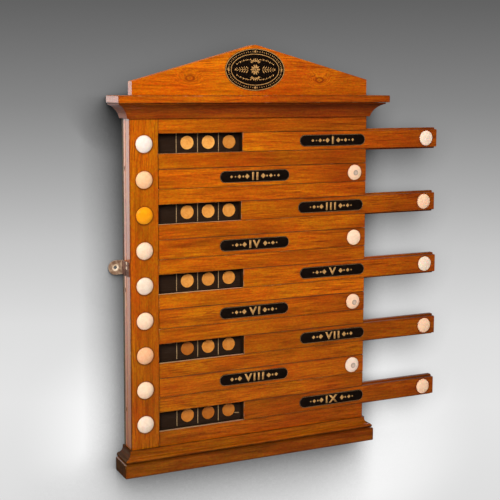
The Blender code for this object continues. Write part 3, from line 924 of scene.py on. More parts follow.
def knobBore(number, front, middle):
    low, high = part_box("slide_knob_%d" % number)
    over = slideShape["overrun"]
    depth = slideShape["boreDepth"] + over
    bore = discShape(slideShape["boreRadius"], slideShape["boreSides"], (0, 0, 0), depth)
    return stoodUp(bore, ((low.x + high.x) / 2, front - over, middle))


def addSlide(number):
    node = "slide_%d" % number
    low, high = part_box(node)
    middle = (low.z + high.z) / 2
    body, back = slideBody(low, high)
    # The pin behind the slide runs in a slot in the back board and stops it.
    pin = discShape(slideShape["pinRadius"], slideShape["pinSides"], (0, 0, 0), high.y - back)
    stoodUp(pin, (low.x + slideShape["pinFromEnd"], back, middle))
    board = carved(body, [platePocket(number, low.y, middle), knobBore(number, low.y, middle)])
    board = merged([board, pin])
    markGrain(board, "X", boardTones[node])
    reach = board.verts.layers.float_vector.new("reach")
    for vert in board.verts:
        vert[reach] = (high.x - vert.co.x, vert.co.z - middle, vert.co.y - low.y)
    markFaces(board, "bare", lambda face, place: isInGroove(face, place) or facesUp(face))
    markFaces(board, "black", lambda face, place: face.normal.x < -0.9 and place.x < low.x + tiny)
    if number % 2:
        # Only the pulled slides show their rubbed left arris, pale partly as a painted highlight.
        markFaces(board, "rubbed", lambda face, place: face.normal.x < -0.5 and face.normal.y < -0.5)
    newPiece(node + "_wood", board, slideOak, node, [node])


for number in rows:
    addSlide(number)
print("slides made")

# Bone knobs and buttons

paleBone = {
    "light": (0.90, 0.70, 0.55), "dark": (0.80, 0.60, 0.44), "rim": (0.82, 0.58, 0.40),
    "spot": 0, "ring": 0,
}
buffBone = dict(paleBone, light=(0.93, 0.61, 0.40), dark=(0.82, 0.51, 0.33), rim=(0.78, 0.44, 0.27),
                ring=0.0042)
boneLooks = {
    "pale": paleBone,
    "white": dict(paleBone, light=(0.95, 0.81, 0.71), dark=(0.89, 0.72, 0.60), rim=(0.88, 0.68, 0.54)),
    "cream": dict(paleBone, light=(0.96, 0.68, 0.48), dark=(0.88, 0.58, 0.38), rim=(0.88, 0.56, 0.35)),
    "peach": dict(paleBone, light=(0.97, 0.58, 0.32), dark=(0.92, 0.49, 0.24), rim=(0.89, 0.45, 0.22)),
    "pink": dict(paleBone, light=(0.90, 0.50, 0.28), dark=(0.83, 0.38, 0.18), rim=(0.88, 0.42, 0.20),
                 ring=0.0030),
    "amber": dict(paleBone, light=(0.98, 0.36, 0.004), dark=(0.93, 0.29, 0.002), rim=(0.86, 0.27, 0.008)),
    "spot": dict(buffBone, spot=0.0058, ring=0),
    "greyspot": dict(paleBone, light=(0.87, 0.65, 0.51), dark=(0.76, 0.56, 0.44), spot=0.0058),
    "buff": buffBone,
}
boneGrain = {
    "clouds": 170, "flecks": (420, 1500, 900), "turning": 9500, "turningShare": 0.10,
    "rimSoft": (0.0122, 0.0158), "rimShare": 0.8, "ringSoft": (0.0002, 0.0007), "ringShare": 0.4,
    "spotRagged": 0.0012, "spotShare": 0.9, "wander": 3.0, "anyPlace": (3.0, 5.0, 2.0),
    "cloudSoft": (0.35, 0.72), "cloudShare": 0.75, "fleckSoft": (0.5, 0.75), "fleckShare": 0.25,
}
spotLook = {"pale": (0.66, 0.50, 0.39), "dark": (0.24, 0.175, 0.135), "soft": 0.0010}


def boneFinish(name, look):
    finish = Finish(name, {"Coat Weight": 0.35, "Coat Roughness": 0.12, "Specular IOR Level": 0.4,
                           "Subsurface Weight": 0.12, "Subsurface Scale": 0.002})
    grain = finish.attribute("grain", "Vector")
    tone = finish.attribute("tone")
    x, z, y = finish.parts(grain)
    radius = (x * x + z * z) ** 0.5
    place = finish.moved(grain, finish.joined(*[tone * far for far in boneGrain["anyPlace"]]))
    clouds = finish.noise(place, scale=boneGrain["clouds"], detail=3.0, roughness=0.6)
    flecks = finish.noise(finish.scaled(place, boneGrain["flecks"]), detail=2.0)
    turning = (radius * boneGrain["turning"] + clouds * boneGrain["wander"]).sine() * 0.5 + 0.5
    cloudy = clouds.between(*boneGrain["cloudSoft"]) * boneGrain["cloudShare"]
    flecked = flecks.between(*boneGrain["fleckSoft"]) * boneGrain["fleckShare"]
    colour = finish.mix((cloudy + flecked).clamped(), look["light"], look["dark"])
    colour = finish.mix(turning * boneGrain["turningShare"], colour, look["dark"])
    # The dome's rim is darker, a painted shade round its edge.
    colour = finish.mix(radius.between(*boneGrain["rimSoft"]) * boneGrain["rimShare"], colour, look["rim"])
    if look["ring"]:
        line = 1.0 - (radius - look["ring"]).unsigned().between(*boneGrain["ringSoft"])
        colour = finish.mix(line * boneGrain["ringShare"], colour, look["rim"])
    if look["spot"]:
        ragged = radius + (clouds - 0.5) * boneGrain["spotRagged"]
        inside = 1.0 - ragged.between(look["spot"] - spotLook["soft"], look["spot"])
        depth = radius.between(0.0, look["spot"]) * 0.6 + clouds * 0.4
        centre = finish.mix(depth, spotLook["pale"], spotLook["dark"])
        colour = finish.mix(inside * boneGrain["spotShare"], colour, centre)
    finish.bump(turning * 0.3 + flecks, 0.00005, 0.4)
    return finish.paint(Base_Color=colour, Roughness=0.26 + clouds * 0.18)


boneFinishes = {name: boneFinish(name + "_bone", look) for name, look in boneLooks.items()}

buttonLook = {
    "radius": 0.0157, "rim": 0.0012, "dome": 0.0050, "pegRadius": 0.006, "pegLength": 0.009,
    "finishes": ("white", "peach", "amber", "cream", "pale", "cream", "pink", "cream", "pale"),
}
knobLook = {
    "radius": 0.0150, "rim": 0.0014, "dome": 0.0024, "pegRadius": 0.005, "pegLength": 0.007,
    "finishes": ("pale", "spot", "buff", "cream", "pale", "spot", "buff", "greyspot", "buff"),
    "spotRadius": 0.0054, "spotDepth": 0.0007, "warpReach": 0.0120,
    "spotOff": {2: (0.0016, -0.0008), 6: (0.0027, -0.0020), 8: (0.0020, -0.0014)},
}
lathe = {"domeSteps": 16, "rimRound": 0.0006, "shoulder": ((0.3, 0.45), (0, 1.1)), "smooth": 50}


def domedProfile(look, sunk):
    # From the middle of the dome out, round the rim, then down the peg.
    radius, rim, dome = look["radius"], look["rim"], look["dome"]
    peg, length, turn = look["pegRadius"], look["pegLength"], lathe["rimRound"]
    ball = (radius * radius + dome * dome) / (2 * dome)
    edge = radius - turn
    profile = []
    for step in range(lathe["domeSteps"] + 1):
        out = edge * step / lathe["domeSteps"]
        drop = ball - math.sqrt(ball * ball - out * out)
        dish = 0
        if sunk and out < look["spotRadius"]:
            dish = look["spotDepth"] * (1 - (out / look["spotRadius"]) ** 4)
        profile.append((out, rim + dome - drop - dish))
    shoulder = profile[-1][1]
    profile += [(radius - turn * out, shoulder - turn * down) for out, down in lathe["shoulder"]]
    profile += [(radius, turn / 2), (radius - turn / 2, 0)]
    return profile + [(peg, 0), (peg, -length), (0, -length)]


def moveSpot(bm, centre, look, offset):
    # The sunk spot lies a little off the middle. Its colour goes with it.
    for vert in bm.verts:
        out = math.hypot(vert.co.x - centre[0], vert.co.z - centre[2])
        if vert.co.y < centre[1] - look["rim"] and out < look["warpReach"]:
            share = 1 - (out / look["warpReach"]) ** 2
            vert.co.x += offset[0] * share
            vert.co.z += offset[1] * share


def addTurned(number, node, look, kind, body):
    low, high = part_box(node)
    centre = ((low.x + high.x) / 2, high.y - look["pegLength"], (low.z + high.z) / 2)
    bm = shifted(turnedShape(domedProfile(look, "spot" in kind)), centre)
    markTurned(bm, centre)
    if "spot" in kind:
        moveSpot(bm, centre, look, look["spotOff"][number])
    newPiece(node + "_bone", bm, boneFinishes[kind], body, [node], smooth=lathe["smooth"])


for number, buttonKind, knobKind in zip(rows, buttonLook["finishes"], knobLook["finishes"]):
    addTurned(number, "stile_button_%d" % number, buttonLook, buttonKind, "case")
    addTurned(number, "slide_knob_%d" % number, knobLook, knobKind, "slide_%d" % number)
print("bone knobs and buttons made")

# Name plates, with gilt numerals

lacquerLook = {
    "black": (0.0055, 0.0028, 0.0018), "dust": (0.034, 0.017, 0.009), "dustSoft": (0.45, 0.85),
    "dustShare": 0.35, "scratches": (90, 900, 1400), "scratchSoft": (0.62, 0.74), "scratchShare": 0.3,
}
giltLook = {"bright": (0.62, 0.34, 0.115), "dull": (0.36, 0.17, 0.05), "bare": (0.07, 0.035, 0.015)}
edgeLook = {"bright": (0.42, 0.26, 0.13), "dull": (0.11, 0.055, 0.03), "bare": (0.02, 0.012, 0.008)}
rubbedAway = {"scale": 320, "soft": (0.38, 0.72), "specks": 1300, "speckSoft": (0.66, 0.74), "share": 0.6}


def lacquerFinish():
    finish = Finish("black_lacquer_worn", {"Coat Weight": 0.4, "Coat Roughness": 0.2,
                                           "Specular IOR Level": 0.3})
    place = finish.objectPlace()
    dust = finish.noise(place, scale=260, detail=4.0, roughness=0.65)
    scratches = finish.noise(finish.scaled(place, lacquerLook["scratches"]), detail=2.0)
    scratched = scratches.between(*lacquerLook["scratchSoft"]) * lacquerLook["scratchShare"]
    dusty = dust.between(*lacquerLook["dustSoft"]) * lacquerLook["dustShare"]
    colour = finish.mix((dusty + scratched).clamped(), lacquerLook["black"], lacquerLook["dust"])
    finish.bump(dust, 0.00004, 0.5)
    return finish.paint(Base_Color=colour, Roughness=0.28 + dust * 0.25)


def giltFinish(name, look):
    finish = Finish(name, {"Specular IOR Level": 0.4})
    place = finish.objectPlace()
    rub = finish.noise(place, scale=rubbedAway["scale"], detail=4.0, roughness=0.7)
    specks = finish.noise(place, scale=rubbedAway["specks"], detail=2.0)
    colour = finish.mix(rub.between(*rubbedAway["soft"]), look["bright"], look["dull"])
    bare = specks.between(*rubbedAway["speckSoft"]) * rubbedAway["share"]
    colour = finish.mix(bare, colour, look["bare"])
    finish.bump(rub, 0.00005, 0.5)
    return finish.paint(Base_Color=colour, Roughness=0.38 + rub * 0.2, Metallic=0.15 - bare * 0.15)


lacquer = lacquerFinish()
gilt = giltFinish("worn_gilt", giltLook)
edgeLine = giltFinish("plate_edge_line", edgeLook)

numeralLook = {
    "height": 0.0150, "thick": 0.00022, "bold": 0.042, "spacing": 1.30, "stretch": 1.16,
    "names": ("I", "II", "III", "IV", "V", "VI", "VII", "VIII", "IX"),
    "firstGap": 0.0100, "pitch": 0.0080, "shrink": 0.88, "outer": 0.0500, "diamondHalf": 0.0048,
    "dotRadius": 0.0020, "dotSides": 12, "proudShare": 0.6, "closeBy": 0.0005,
}


def letterShape(text):
    # Raised letters, lying face up and centred, with the height that numeralLook gives.
    curve = bpy.data.curves.new("numeral", "FONT")
    curve.body = text
    curve.size = 1
    curve.offset = numeralLook["bold"]
    curve.space_character = numeralLook["spacing"]
    holder = bpy.data.objects.new("numeral", curve)
    bpy.context.scene.collection.objects.link(holder)
    mesh = bpy.data.meshes.new_from_object(holder.evaluated_get(bpy.context.evaluated_depsgraph_get()))
    bpy.data.objects.remove(holder)
    bpy.data.curves.remove(curve)
    bm = bmesh.new()
    bm.from_mesh(mesh)
    bpy.data.meshes.remove(mesh)
    bmesh.ops.remove_doubles(bm, verts=bm.verts, dist=numeralLook["closeBy"])
    across = [vert.co.x for vert in bm.verts]
    upwards = [vert.co.y for vert in bm.verts]
    shifted(bm, (-(min(across) + max(across)) / 2, -(min(upwards) + max(upwards)) / 2, 0))
    size = numeralLook["height"] / (max(upwards) - min(upwards))
    bmesh.ops.scale(bm, verts=bm.verts, vec=(size * numeralLook["stretch"], size, 1))
    halfLength = (max(across) - min(across)) * size * numeralLook["stretch"] / 2
    return thickened(bm, numeralLook["thick"]), halfLength


def plateShapes(number):
    # The numeral, with diamonds and dots in turn, smaller towards the plate's ends.
    letters, half = letterShape(numeralLook["names"][number - 1])
    shapes = [letters]
    step = 0
    out = half + numeralLook["firstGap"]
    while out < numeralLook["outer"]:
        size = numeralLook["shrink"] ** step
        radius, sides = numeralLook["diamondHalf"], 4
        if step % 2:
            radius, sides = numeralLook["dotRadius"], numeralLook["dotSides"]
        for sign in (-1, 1):
            shapes.append(discShape(radius * size, sides, (sign * out, 0, 0), numeralLook["thick"]))
        step += 1
        out = half + numeralLook["firstGap"] + step * numeralLook["pitch"]
    return shapes


def addPlate(number):
    node = "name_plate_%d" % number
    body = "slide_%d" % number
    low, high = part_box(node)
    length, height = high.x - low.x, high.z - low.z
    front = ((low.x + high.x) / 2, low.y, (low.z + high.z) / 2)
    plate = thickened(stadiumShape(length, height, plateLook["steps"]), high.y - low.y)
    easeEdges(plate, frontRim(plate), plateLook["edge"], 3)
    newPiece(node + "_black", stoodUp(plate, front), lacquer, body, [node], smooth=40)

    # A thin pale line along the plate's edge, a painted highlight on its rim.
    proud = (front[0], front[1] - numeralLook["thick"] * numeralLook["proudShare"], front[2])
    inset = 2 * (plateLook["edge"] + plateLook["lineInset"])
    line = bandOf(stadiumShape(length - inset, height - inset, plateLook["steps"]), plateLook["line"])
    line = stoodUp(thickened(line, numeralLook["thick"]), proud)
    newPiece("plate_line_%d" % number, line, edgeLine, body)

    gilding = stoodUp(merged(plateShapes(number)), proud)
    newPiece("numeral_%d" % number, gilding, gilt, body)


for number in rows:
    addPlate(number)
print("name plates made")

# The black ground behind the slides, the lives on it and the dividers between them

groundLook = {
    "black": (0.022, 0.011, 0.006), "grey": (0.050, 0.032, 0.022), "brushed": (40, 300, 500),
    "brushSoft": (0.45, 0.8), "brushShare": 0.5, "dustSoft": (0.55, 0.8), "dustShare": 0.3,
}
rawLook = {
    "light": (0.30, 0.155, 0.062), "dark": (0.15, 0.070, 0.026), "stain": (0.10, 0.05, 0.022),
    "figure": (4, 60, 60), "streaks": (14, 480, 480), "stains": (6, 9, 9),
    "soft": (0.35, 0.62), "stainSoft": (0.5, 0.8), "stainShare": 0.5,
}
lifeLook = {
    "light": (0.96, 0.50, 0.13), "middle": (0.86, 0.34, 0.055), "dark": (0.56, 0.17, 0.018),
    "radius": 0.0125, "proud": 0.0024, "round": 0.0005, "lip": 0.0012, "dish": 0.00025, "sides": 48,
    "tones": {1: (1.0, 1.0, 0.72), 3: (0.86, 0.90, 0.85), 5: (0.86, 0.75, 0.77), 7: (0.47, 0.73, 0.68),
              9: (0.61, 0.48, 0.54)},
    "anyTone": (0.8, 0.75, 0.78),
}
lifeGrain = {
    "anyPlace": (30.0, 70.0, 20.0), "clouds": 150, "rings": 4200, "wander": 5.0, "end": (260, 900, 500),
    "cloudShare": 0.50, "ringShare": 0.16, "endShare": 0.36, "level": 0.09,
    "stops": ((0.30, "dark"), (0.52, "middle"), (0.78, "light")),
    "rimSoft": (0.0112, 0.0125), "rimShare": 0.35, "greenPower": 1.6, "bluePower": 2.5,
}
dividerLook = {
    "pale": (0.44, 0.29, 0.14), "dark": (0.22, 0.13, 0.055), "soft": (0.42, 0.72), "ease": 0.0003,
}
cells = {"pitch": 0.0421, "windowHalf": 0.0204, "dividerWidth": 0.0012, "dividerProud": 0.0014}
fleckLook = {
    "size": (0.0090, 0.0003, 0.0016), "turn": math.radians(8), "across": -0.0248, "up": -0.2641,
}
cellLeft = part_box("left_stile")[1].x


def groundFinish():
    finish = Finish("black_ground", {"Specular IOR Level": 0.25})
    place = finish.objectPlace()
    brushed = finish.noise(finish.scaled(place, groundLook["brushed"]), detail=3.0, roughness=0.6)
    dust = finish.noise(place, scale=420, detail=3.0)
    greyed = brushed.between(*groundLook["brushSoft"]) * groundLook["brushShare"]
    dusty = dust.between(*groundLook["dustSoft"]) * groundLook["dustShare"]
    colour = finish.mix((greyed + dusty).clamped(), groundLook["black"], groundLook["grey"])
    finish.bump(brushed, 0.0001, 0.5)
    return finish.paint(Base_Color=colour, Roughness=0.5 + dust * 0.3)


def rawWoodFinish():
    finish = Finish("unvarnished_back", {"Specular IOR Level": 0.2})
    grain = finish.attribute("grain", "Vector")
    figure = finish.noise(finish.scaled(grain, rawLook["figure"]), detail=3.0, distortion=0.4)
    streaks = finish.noise(finish.scaled(grain, rawLook["streaks"]), detail=4.0, roughness=0.65)
    stains = finish.noise(finish.scaled(grain, rawLook["stains"]), detail=2.0)
    lighter = (figure * 0.5 + streaks * 0.5).between(*rawLook["soft"])
    colour = finish.mix(lighter, rawLook["dark"], rawLook["light"])
    stained = stains.between(*rawLook["stainSoft"]) * rawLook["stainShare"]
    colour = finish.mix(stained, colour, rawLook["stain"])
    finish.bump(streaks, 0.0003, 0.6)
    return finish.paint(Base_Color=colour, Roughness=0.72 + streaks * 0.15)


def lifeFinish():
    finish = Finish("turned_boxwood", {"Specular IOR Level": 0.35, "Coat Weight": 0.2,
                                       "Coat Roughness": 0.25})
    grain = finish.attribute("grain", "Vector")
    tone = finish.attribute("tone")
    x, z, y = finish.parts(grain)
    radius = (x * x + z * z) ** 0.5
    place = finish.moved(grain, finish.joined(*[tone * far for far in lifeGrain["anyPlace"]]))
    clouds = finish.noise(place, scale=lifeGrain["clouds"], detail=3.0)
    turning = (radius * lifeGrain["rings"] + clouds * lifeGrain["wander"]).sine() * 0.5 + 0.5
    end = finish.noise(finish.scaled(place, lifeGrain["end"]), detail=3.0, roughness=0.7)
    mixed = clouds * lifeGrain["cloudShare"] + turning * lifeGrain["ringShare"]
    mixed = (mixed + end * lifeGrain["endShare"] + lifeGrain["level"]).clamped()
    colour = finish.ramp(mixed, [(place, lifeLook[shade]) for place, shade in lifeGrain["stops"]])
    rim = radius.between(*lifeGrain["rimSoft"]) * lifeGrain["rimShare"]
    colour = finish.mix(rim, colour, lifeLook["light"])
    # A darker disc is also a redder one.
    colour = finish.tinted(colour, tone, tone ** lifeGrain["greenPower"], tone ** lifeGrain["bluePower"])
    finish.bump(turning * 0.6 + end * 0.6, 0.00008, 0.6)
    return finish.paint(Base_Color=colour, Roughness=0.42 + end * 0.2)


def dividerFinish():
    finish = Finish("pale_divider", {"Specular IOR Level": 0.4})
    place = finish.objectPlace()
    rub = finish.noise(place, scale=380, detail=3.0)
    colour = finish.mix(rub.between(*dividerLook["soft"]), dividerLook["pale"], dividerLook["dark"])
    return finish.paint(Base_Color=colour, Roughness=0.4 + rub * 0.2)


def addGround():
    # The CAD board without its lives and dividers, black in front and bare behind.
    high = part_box("back_board")[1]
    bm = cadCopy("back_board")
    for vert in bm.verts:
        vert.co.y = max(vert.co.y, boardFront)
    cleaned(bm)
    markGrain(bm, "Z")
    pickFaces(bm, lambda face: face.normal.y > 0.5 and face.calc_center_median().y > high.y - tiny)
    finishes = [groundFinish(), rawWoodFinish()]
    newPiece("back_board_ground", bm, finishes, "case", ["back_board"])


def lifeProfile():
    # From the middle out: a dished face, a lip with a rounded edge, then the back.
    radius, proud, edge = lifeLook["radius"], lifeLook["proud"], lifeLook["round"]
    inner, dish = radius - lifeLook["lip"], lifeLook["dish"]
    return [(0, proud - dish), (radius * 0.45, proud - dish * 0.9), (inner - edge, proud - dish * 0.5),
            (inner, proud), (radius - edge, proud), (radius - edge * 0.3, proud - edge * 0.3),
            (radius, proud - edge), (radius, 0), (0, 0)]


def dividerShape(place):
    strip = blockShape((cells["dividerWidth"], cells["dividerProud"], 2 * cells["windowHalf"]))
    fronts = [edge for edge in strip.edges if all(vert.co.y < 0 for vert in edge.verts)]
    easeEdges(strip, fronts, dividerLook["ease"])
    return shifted(strip, place)


def addLives(number):
    low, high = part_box("slide_%d" % number)
    middle = (low.z + high.z) / 2
    tones = lifeLook["tones"].get(number, lifeLook["anyTone"])
    strips = []
    for cell, tone in enumerate(tones, 1):
        left = cellLeft + cells["pitch"] * cell
        centre = (left + cells["pitch"] / 2, boardFront, middle)
        disc = shifted(turnedShape(lifeProfile(), lifeLook["sides"]), centre)
        markTurned(disc, centre, tone)
        newPiece("life_%d_%d" % (number, cell), disc, boxwood, "case", smooth=40)
        strips.append(dividerShape((left, boardFront - cells["dividerProud"] / 2, middle)))
    newPiece("dividers_%d" % number, merged(strips), paleDivider, "case")


def addFleck():
    # A chip of pale paint in the lowest window.
    bm = turned(blockShape(fleckLook["size"]), fleckLook["turn"], "Y")
    shifted(bm, (fleckLook["across"], boardFront - fleckLook["size"][1] / 2, fleckLook["up"]))
    newPiece("pale_fleck", bm, paleDivider, "case")


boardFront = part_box("rail_1")[1].y + jointGap
boxwood = lifeFinish()
paleDivider = dividerFinish()
addGround()
for number in rows:
    addLives(number)
addFleck()
print("lives made")

# Oval badge: a rosette, scrolls of leaves and strings of beads in gilt on black

badgeLook = {
    "centre": 0.0470, "halfWidth": 0.061, "halfHeight": 0.039, "thick": 0.0007, "edge": 0.0003,
    "innerWidth": 0.0490, "innerHeight": 0.0285, "line": 0.0006, "raised": 0.0003, "steps": 96,
    "darts": 72, "dartLong": 0.0026, "dartShort": 0.0017, "dartWidth": 0.0009, "starHalf": 0.0026,
    "rimInset": 0.0012, "bandInset": 0.0006, "leafTop": 0.45, "raisedShare": 0.7,
}
rosetteLook = {"petals": 10, "length": 0.0042, "width": 0.0019, "out": 0.0062, "boss": 0.0022}
scrollLook = {
    "stemStart": 0.011, "stemEnd": 0.0400, "stemWidth": 0.0006, "pairs": 5, "leafLength": 0.0042,
    "leafWidth": 0.0012, "lean": math.radians(50), "tipBead": 0.0022, "firstLeaf": 0.003,
    "lastLeaf": 0.005, "taper": 0.45, "lift": 1.15,
}
fanLook = {
    "leaves": 7, "height": 0.0150, "length": 0.0044, "width": 0.0014, "spread": math.radians(66),
    "out": 0.0045, "sideways": 1.3, "foot": 0.004, "taper": 0.3,
}
beadLook = {
    "count": 9, "start": 0.0100, "pitch": 0.0034, "height": 0.0185, "drop": 0.0085, "radius": 0.0014,
    "large": 1.25, "small": 0.8,
}


def badgeCurve(halfWidth, halfHeight, angle):
    return halfWidth * math.cos(angle), halfHeight * math.sin(angle)


def flatOval(halfWidth, halfHeight):
    bm = bmesh.new()
    bmesh.ops.create_circle(bm, cap_ends=True, radius=1, segments=badgeLook["steps"])
    bmesh.ops.scale(bm, verts=bm.verts, vec=(halfWidth, halfHeight, 1))
    return bm


def ovalLine(halfWidth, halfHeight):
    # A raised line of even width that follows an ellipse.
    radius = badgeLook["line"]
    band = bandOf(flatOval(halfWidth + radius, halfHeight + radius), 2 * radius)
    return thickened(band, badgeLook["raised"])


def leafShape(length, width, place, turn, sides=6):
    # A small raised leaf: a low cone drawn out along one way.
    bm = shifted(coneShape(sides, badgeLook["leafTop"]), (0, 0, -0.5))
    bmesh.ops.scale(bm, verts=bm.verts, vec=(length, width, badgeLook["raised"]))
    return shifted(turned(bm, turn, "Z"), (*place, 0))


def badgeBand():
    rim = badgeLook["rimInset"]
    shapes = [ovalLine(badgeLook["halfWidth"] - rim, badgeLook["halfHeight"] - rim),
              ovalLine(badgeLook["innerWidth"], badgeLook["innerHeight"])]
    width = (badgeLook["halfWidth"] + badgeLook["innerWidth"]) / 2 - badgeLook["bandInset"]
    height = (badgeLook["halfHeight"] + badgeLook["innerHeight"]) / 2 - badgeLook["bandInset"]
    count = badgeLook["darts"]
    for step in range(count):
        angle = math.tau * step / count
        place = badgeCurve(width, height, angle)
        if step % (count // 4) == 0:
            shapes.append(leafShape(badgeLook["starHalf"], badgeLook["starHalf"], place, 0, 12))
            continue
        outward = math.atan2(math.sin(angle) / height, math.cos(angle) / width)
        length = badgeLook["dartLong"] if step % 2 else badgeLook["dartShort"]
        shapes.append(leafShape(length, badgeLook["dartWidth"], place, outward, 4))
    return shapes


def badgeRosette():
    shapes = [leafShape(rosetteLook["boss"], rosetteLook["boss"], (0, 0), 0, 16)]
    for step in range(rosetteLook["petals"]):
        angle = math.tau * step / rosetteLook["petals"]
        place = badgeCurve(rosetteLook["out"], rosetteLook["out"], angle)
        shapes.append(leafShape(rosetteLook["length"], rosetteLook["width"], place, angle, 8))
    return shapes


def badgeScrolls():
    # A stem to each side, with leaves that grow smaller towards its tip.
    shapes = []
    start, end = scrollLook["stemStart"], scrollLook["stemEnd"]
    first, last = start + scrollLook["firstLeaf"], end - scrollLook["lastLeaf"]
    for sign in (-1, 1):
        halfway = (sign * (start + end) / 2, 0)
        shapes.append(leafShape((end - start) / 2, scrollLook["stemWidth"], halfway, 0))
        shapes.append(leafShape(scrollLook["tipBead"], scrollLook["tipBead"], (sign * end, 0), 0, 12))
        for step in range(scrollLook["pairs"]):
            share = step / (scrollLook["pairs"] - 1)
            size = 1 - scrollLook["taper"] * share
            along = first + (last - first) * share
            length = scrollLook["leafLength"] * size
            for side in (-1, 1):
                lean = side * scrollLook["lean"]
                across = sign * (along + length * math.cos(lean))
                turn = lean if sign > 0 else math.pi - lean
                shapes.append(leafShape(length, scrollLook["leafWidth"] * size,
                                        (across, length * math.sin(lean) * scrollLook["lift"]), turn, 8))
    return shapes


def badgeFan(side):
    # A fan of leaves above or below the rosette.
    shapes = []
    half = (fanLook["leaves"] - 1) / 2
    reach = fanLook["out"] + fanLook["length"] * 0.5
    for step in range(fanLook["leaves"]):
        lean = fanLook["spread"] * (step - half) / half
        up = fanLook["height"] + reach * math.cos(lean) - fanLook["foot"]
        place = (reach * fanLook["sideways"] * math.sin(lean), side * up)
        length = fanLook["length"] * (1 - fanLook["taper"] * abs(math.sin(lean)))
        shapes.append(leafShape(length, fanLook["width"], place, side * (math.pi / 2 - lean), 8))
    return shapes


def badgeBeads(side):
    # A string of beads that falls away to each side of a fan.
    shapes = []
    for sign in (-1, 1):
        for step in range(beadLook["count"]):
            share = step / (beadLook["count"] - 1)
            across = beadLook["start"] + beadLook["pitch"] * step
            up = beadLook["height"] - beadLook["drop"] * share * share
            radius = beadLook["radius"] * beadLook["small" if step % 2 else "large"]
            shapes.append(leafShape(radius, radius, (sign * across, side * up), 0, 8))
    return shapes


def addBadge():
    low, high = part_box("pediment")
    across = (low.x + high.x) / 2
    up = low.z + badgeLook["centre"]
    plate = thickened(flatOval(badgeLook["halfWidth"], badgeLook["halfHeight"]), badgeLook["thick"])
    easeEdges(plate, frontRim(plate), badgeLook["edge"])
    stoodUp(plate, (across, low.y - badgeLook["thick"], up))
    newPiece("badge_plate", plate, lacquer, "case", smooth=40)
    shapes = badgeBand() + badgeRosette() + badgeScrolls()
    for side in (-1, 1):
        shapes += badgeFan(side) + badgeBeads(side)
    front = low.y - badgeLook["thick"] - badgeLook["raised"] * badgeLook["raisedShare"]
    newPiece("badge_ornament", stoodUp(merged(shapes), (across, front, up)), gilt, "case")


addBadge()
print("badge made")

# Brass hanging plate, its screws and the nails in the side

brassLook = {
    # The rubbed brass of the screw hole and the screw heads is pale, as rubbed metal and as a painted
    # sheen.
    "rubbedSheen": {"pale": (0.95, 0.80, 0.60), "dark": (0.66, 0.46, 0.29), "rough": 0.30, "metal": 0.15},
    "brown": {"pale": (0.50, 0.34, 0.22), "dark": (0.20, 0.105, 0.060), "rough": 0.40, "metal": 0.20},
    "leg": {"pale": (0.30, 0.150, 0.100), "dark": (0.075, 0.030, 0.020), "rough": 0.40, "metal": 0.35},
}
patinaLook = {"scale": 140, "soft": (0.35, 0.68), "dulled": (0.4, 0.8), "dullShare": 0.5}
screwLook = {
    "radius": 0.0030, "dome": 0.0011, "rings": (0, 0.3, 0.55, 0.78, 0.93), "sides": 24,
    "slot": 0.0006, "slotLength": 0.0066, "heights": (0.0417, 0.0330), "depth": 0.027,
}
holeLook = {"half": 0.013, "sink": 0.0064, "bore": 0.0034, "rim": 0.0068, "steep": 0.2, "level": 0.95}
hangerEase = 0.0003
nailLook = {
    "heights": (0.212, -0.009, -0.231), "depth": 0.0145, "size": (0.0050, 0.0018, 0.0003),
    "proud": 0.0001, "sides": 16, "taper": 0.7,
    "dark": (0.035, 0.016, 0.010), "pale": (0.09, 0.045, 0.03),
}


def brassFinish(name, look):
    finish = Finish(name, {"Specular IOR Level": 0.5})
    place = finish.objectPlace()
    patina = finish.noise(place, scale=patinaLook["scale"], detail=4.0, roughness=0.65)
    fine = finish.noise(place, scale=900, detail=2.0)
    colour = finish.mix(patina.between(*patinaLook["soft"]), look["pale"], look["dark"])
    finish.bump(patina + fine * 0.4, 0.0001, 0.5)
    dulled = patina.between(*patinaLook["dulled"]) * look["metal"] * patinaLook["dullShare"]
    return finish.paint(Base_Color=colour, Roughness=look["rough"] + fine * 0.2,
                        Metallic=look["metal"] - dulled)


def fromHole(place, low):
    # Distance from the screw hole's axis.
    return math.hypot(place.x - (low.x + holeLook["half"]), place.z - (low.z + holeLook["half"]))


def hangerLegFace(low):
    # The leg's outer face, from its points nearest the front.
    points = [vert.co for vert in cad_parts["hanging_plate_left"].data.vertices]
    return min(point.x for point in points if point.y < low.y + tiny)


def screwShape():
    # A domed head with a slot across it.
    radius, dome = screwLook["radius"], screwLook["dome"]
    profile = [(radius * share, dome * (1 - share * share)) for share in screwLook["rings"]]
    head = turnedShape(profile + [(radius, 0), (0, 0)], screwLook["sides"])
    slot = blockShape((screwLook["slotLength"], screwLook["slot"], screwLook["slot"]))
    return carved(head, [shifted(slot, (0, -dome, 0))])


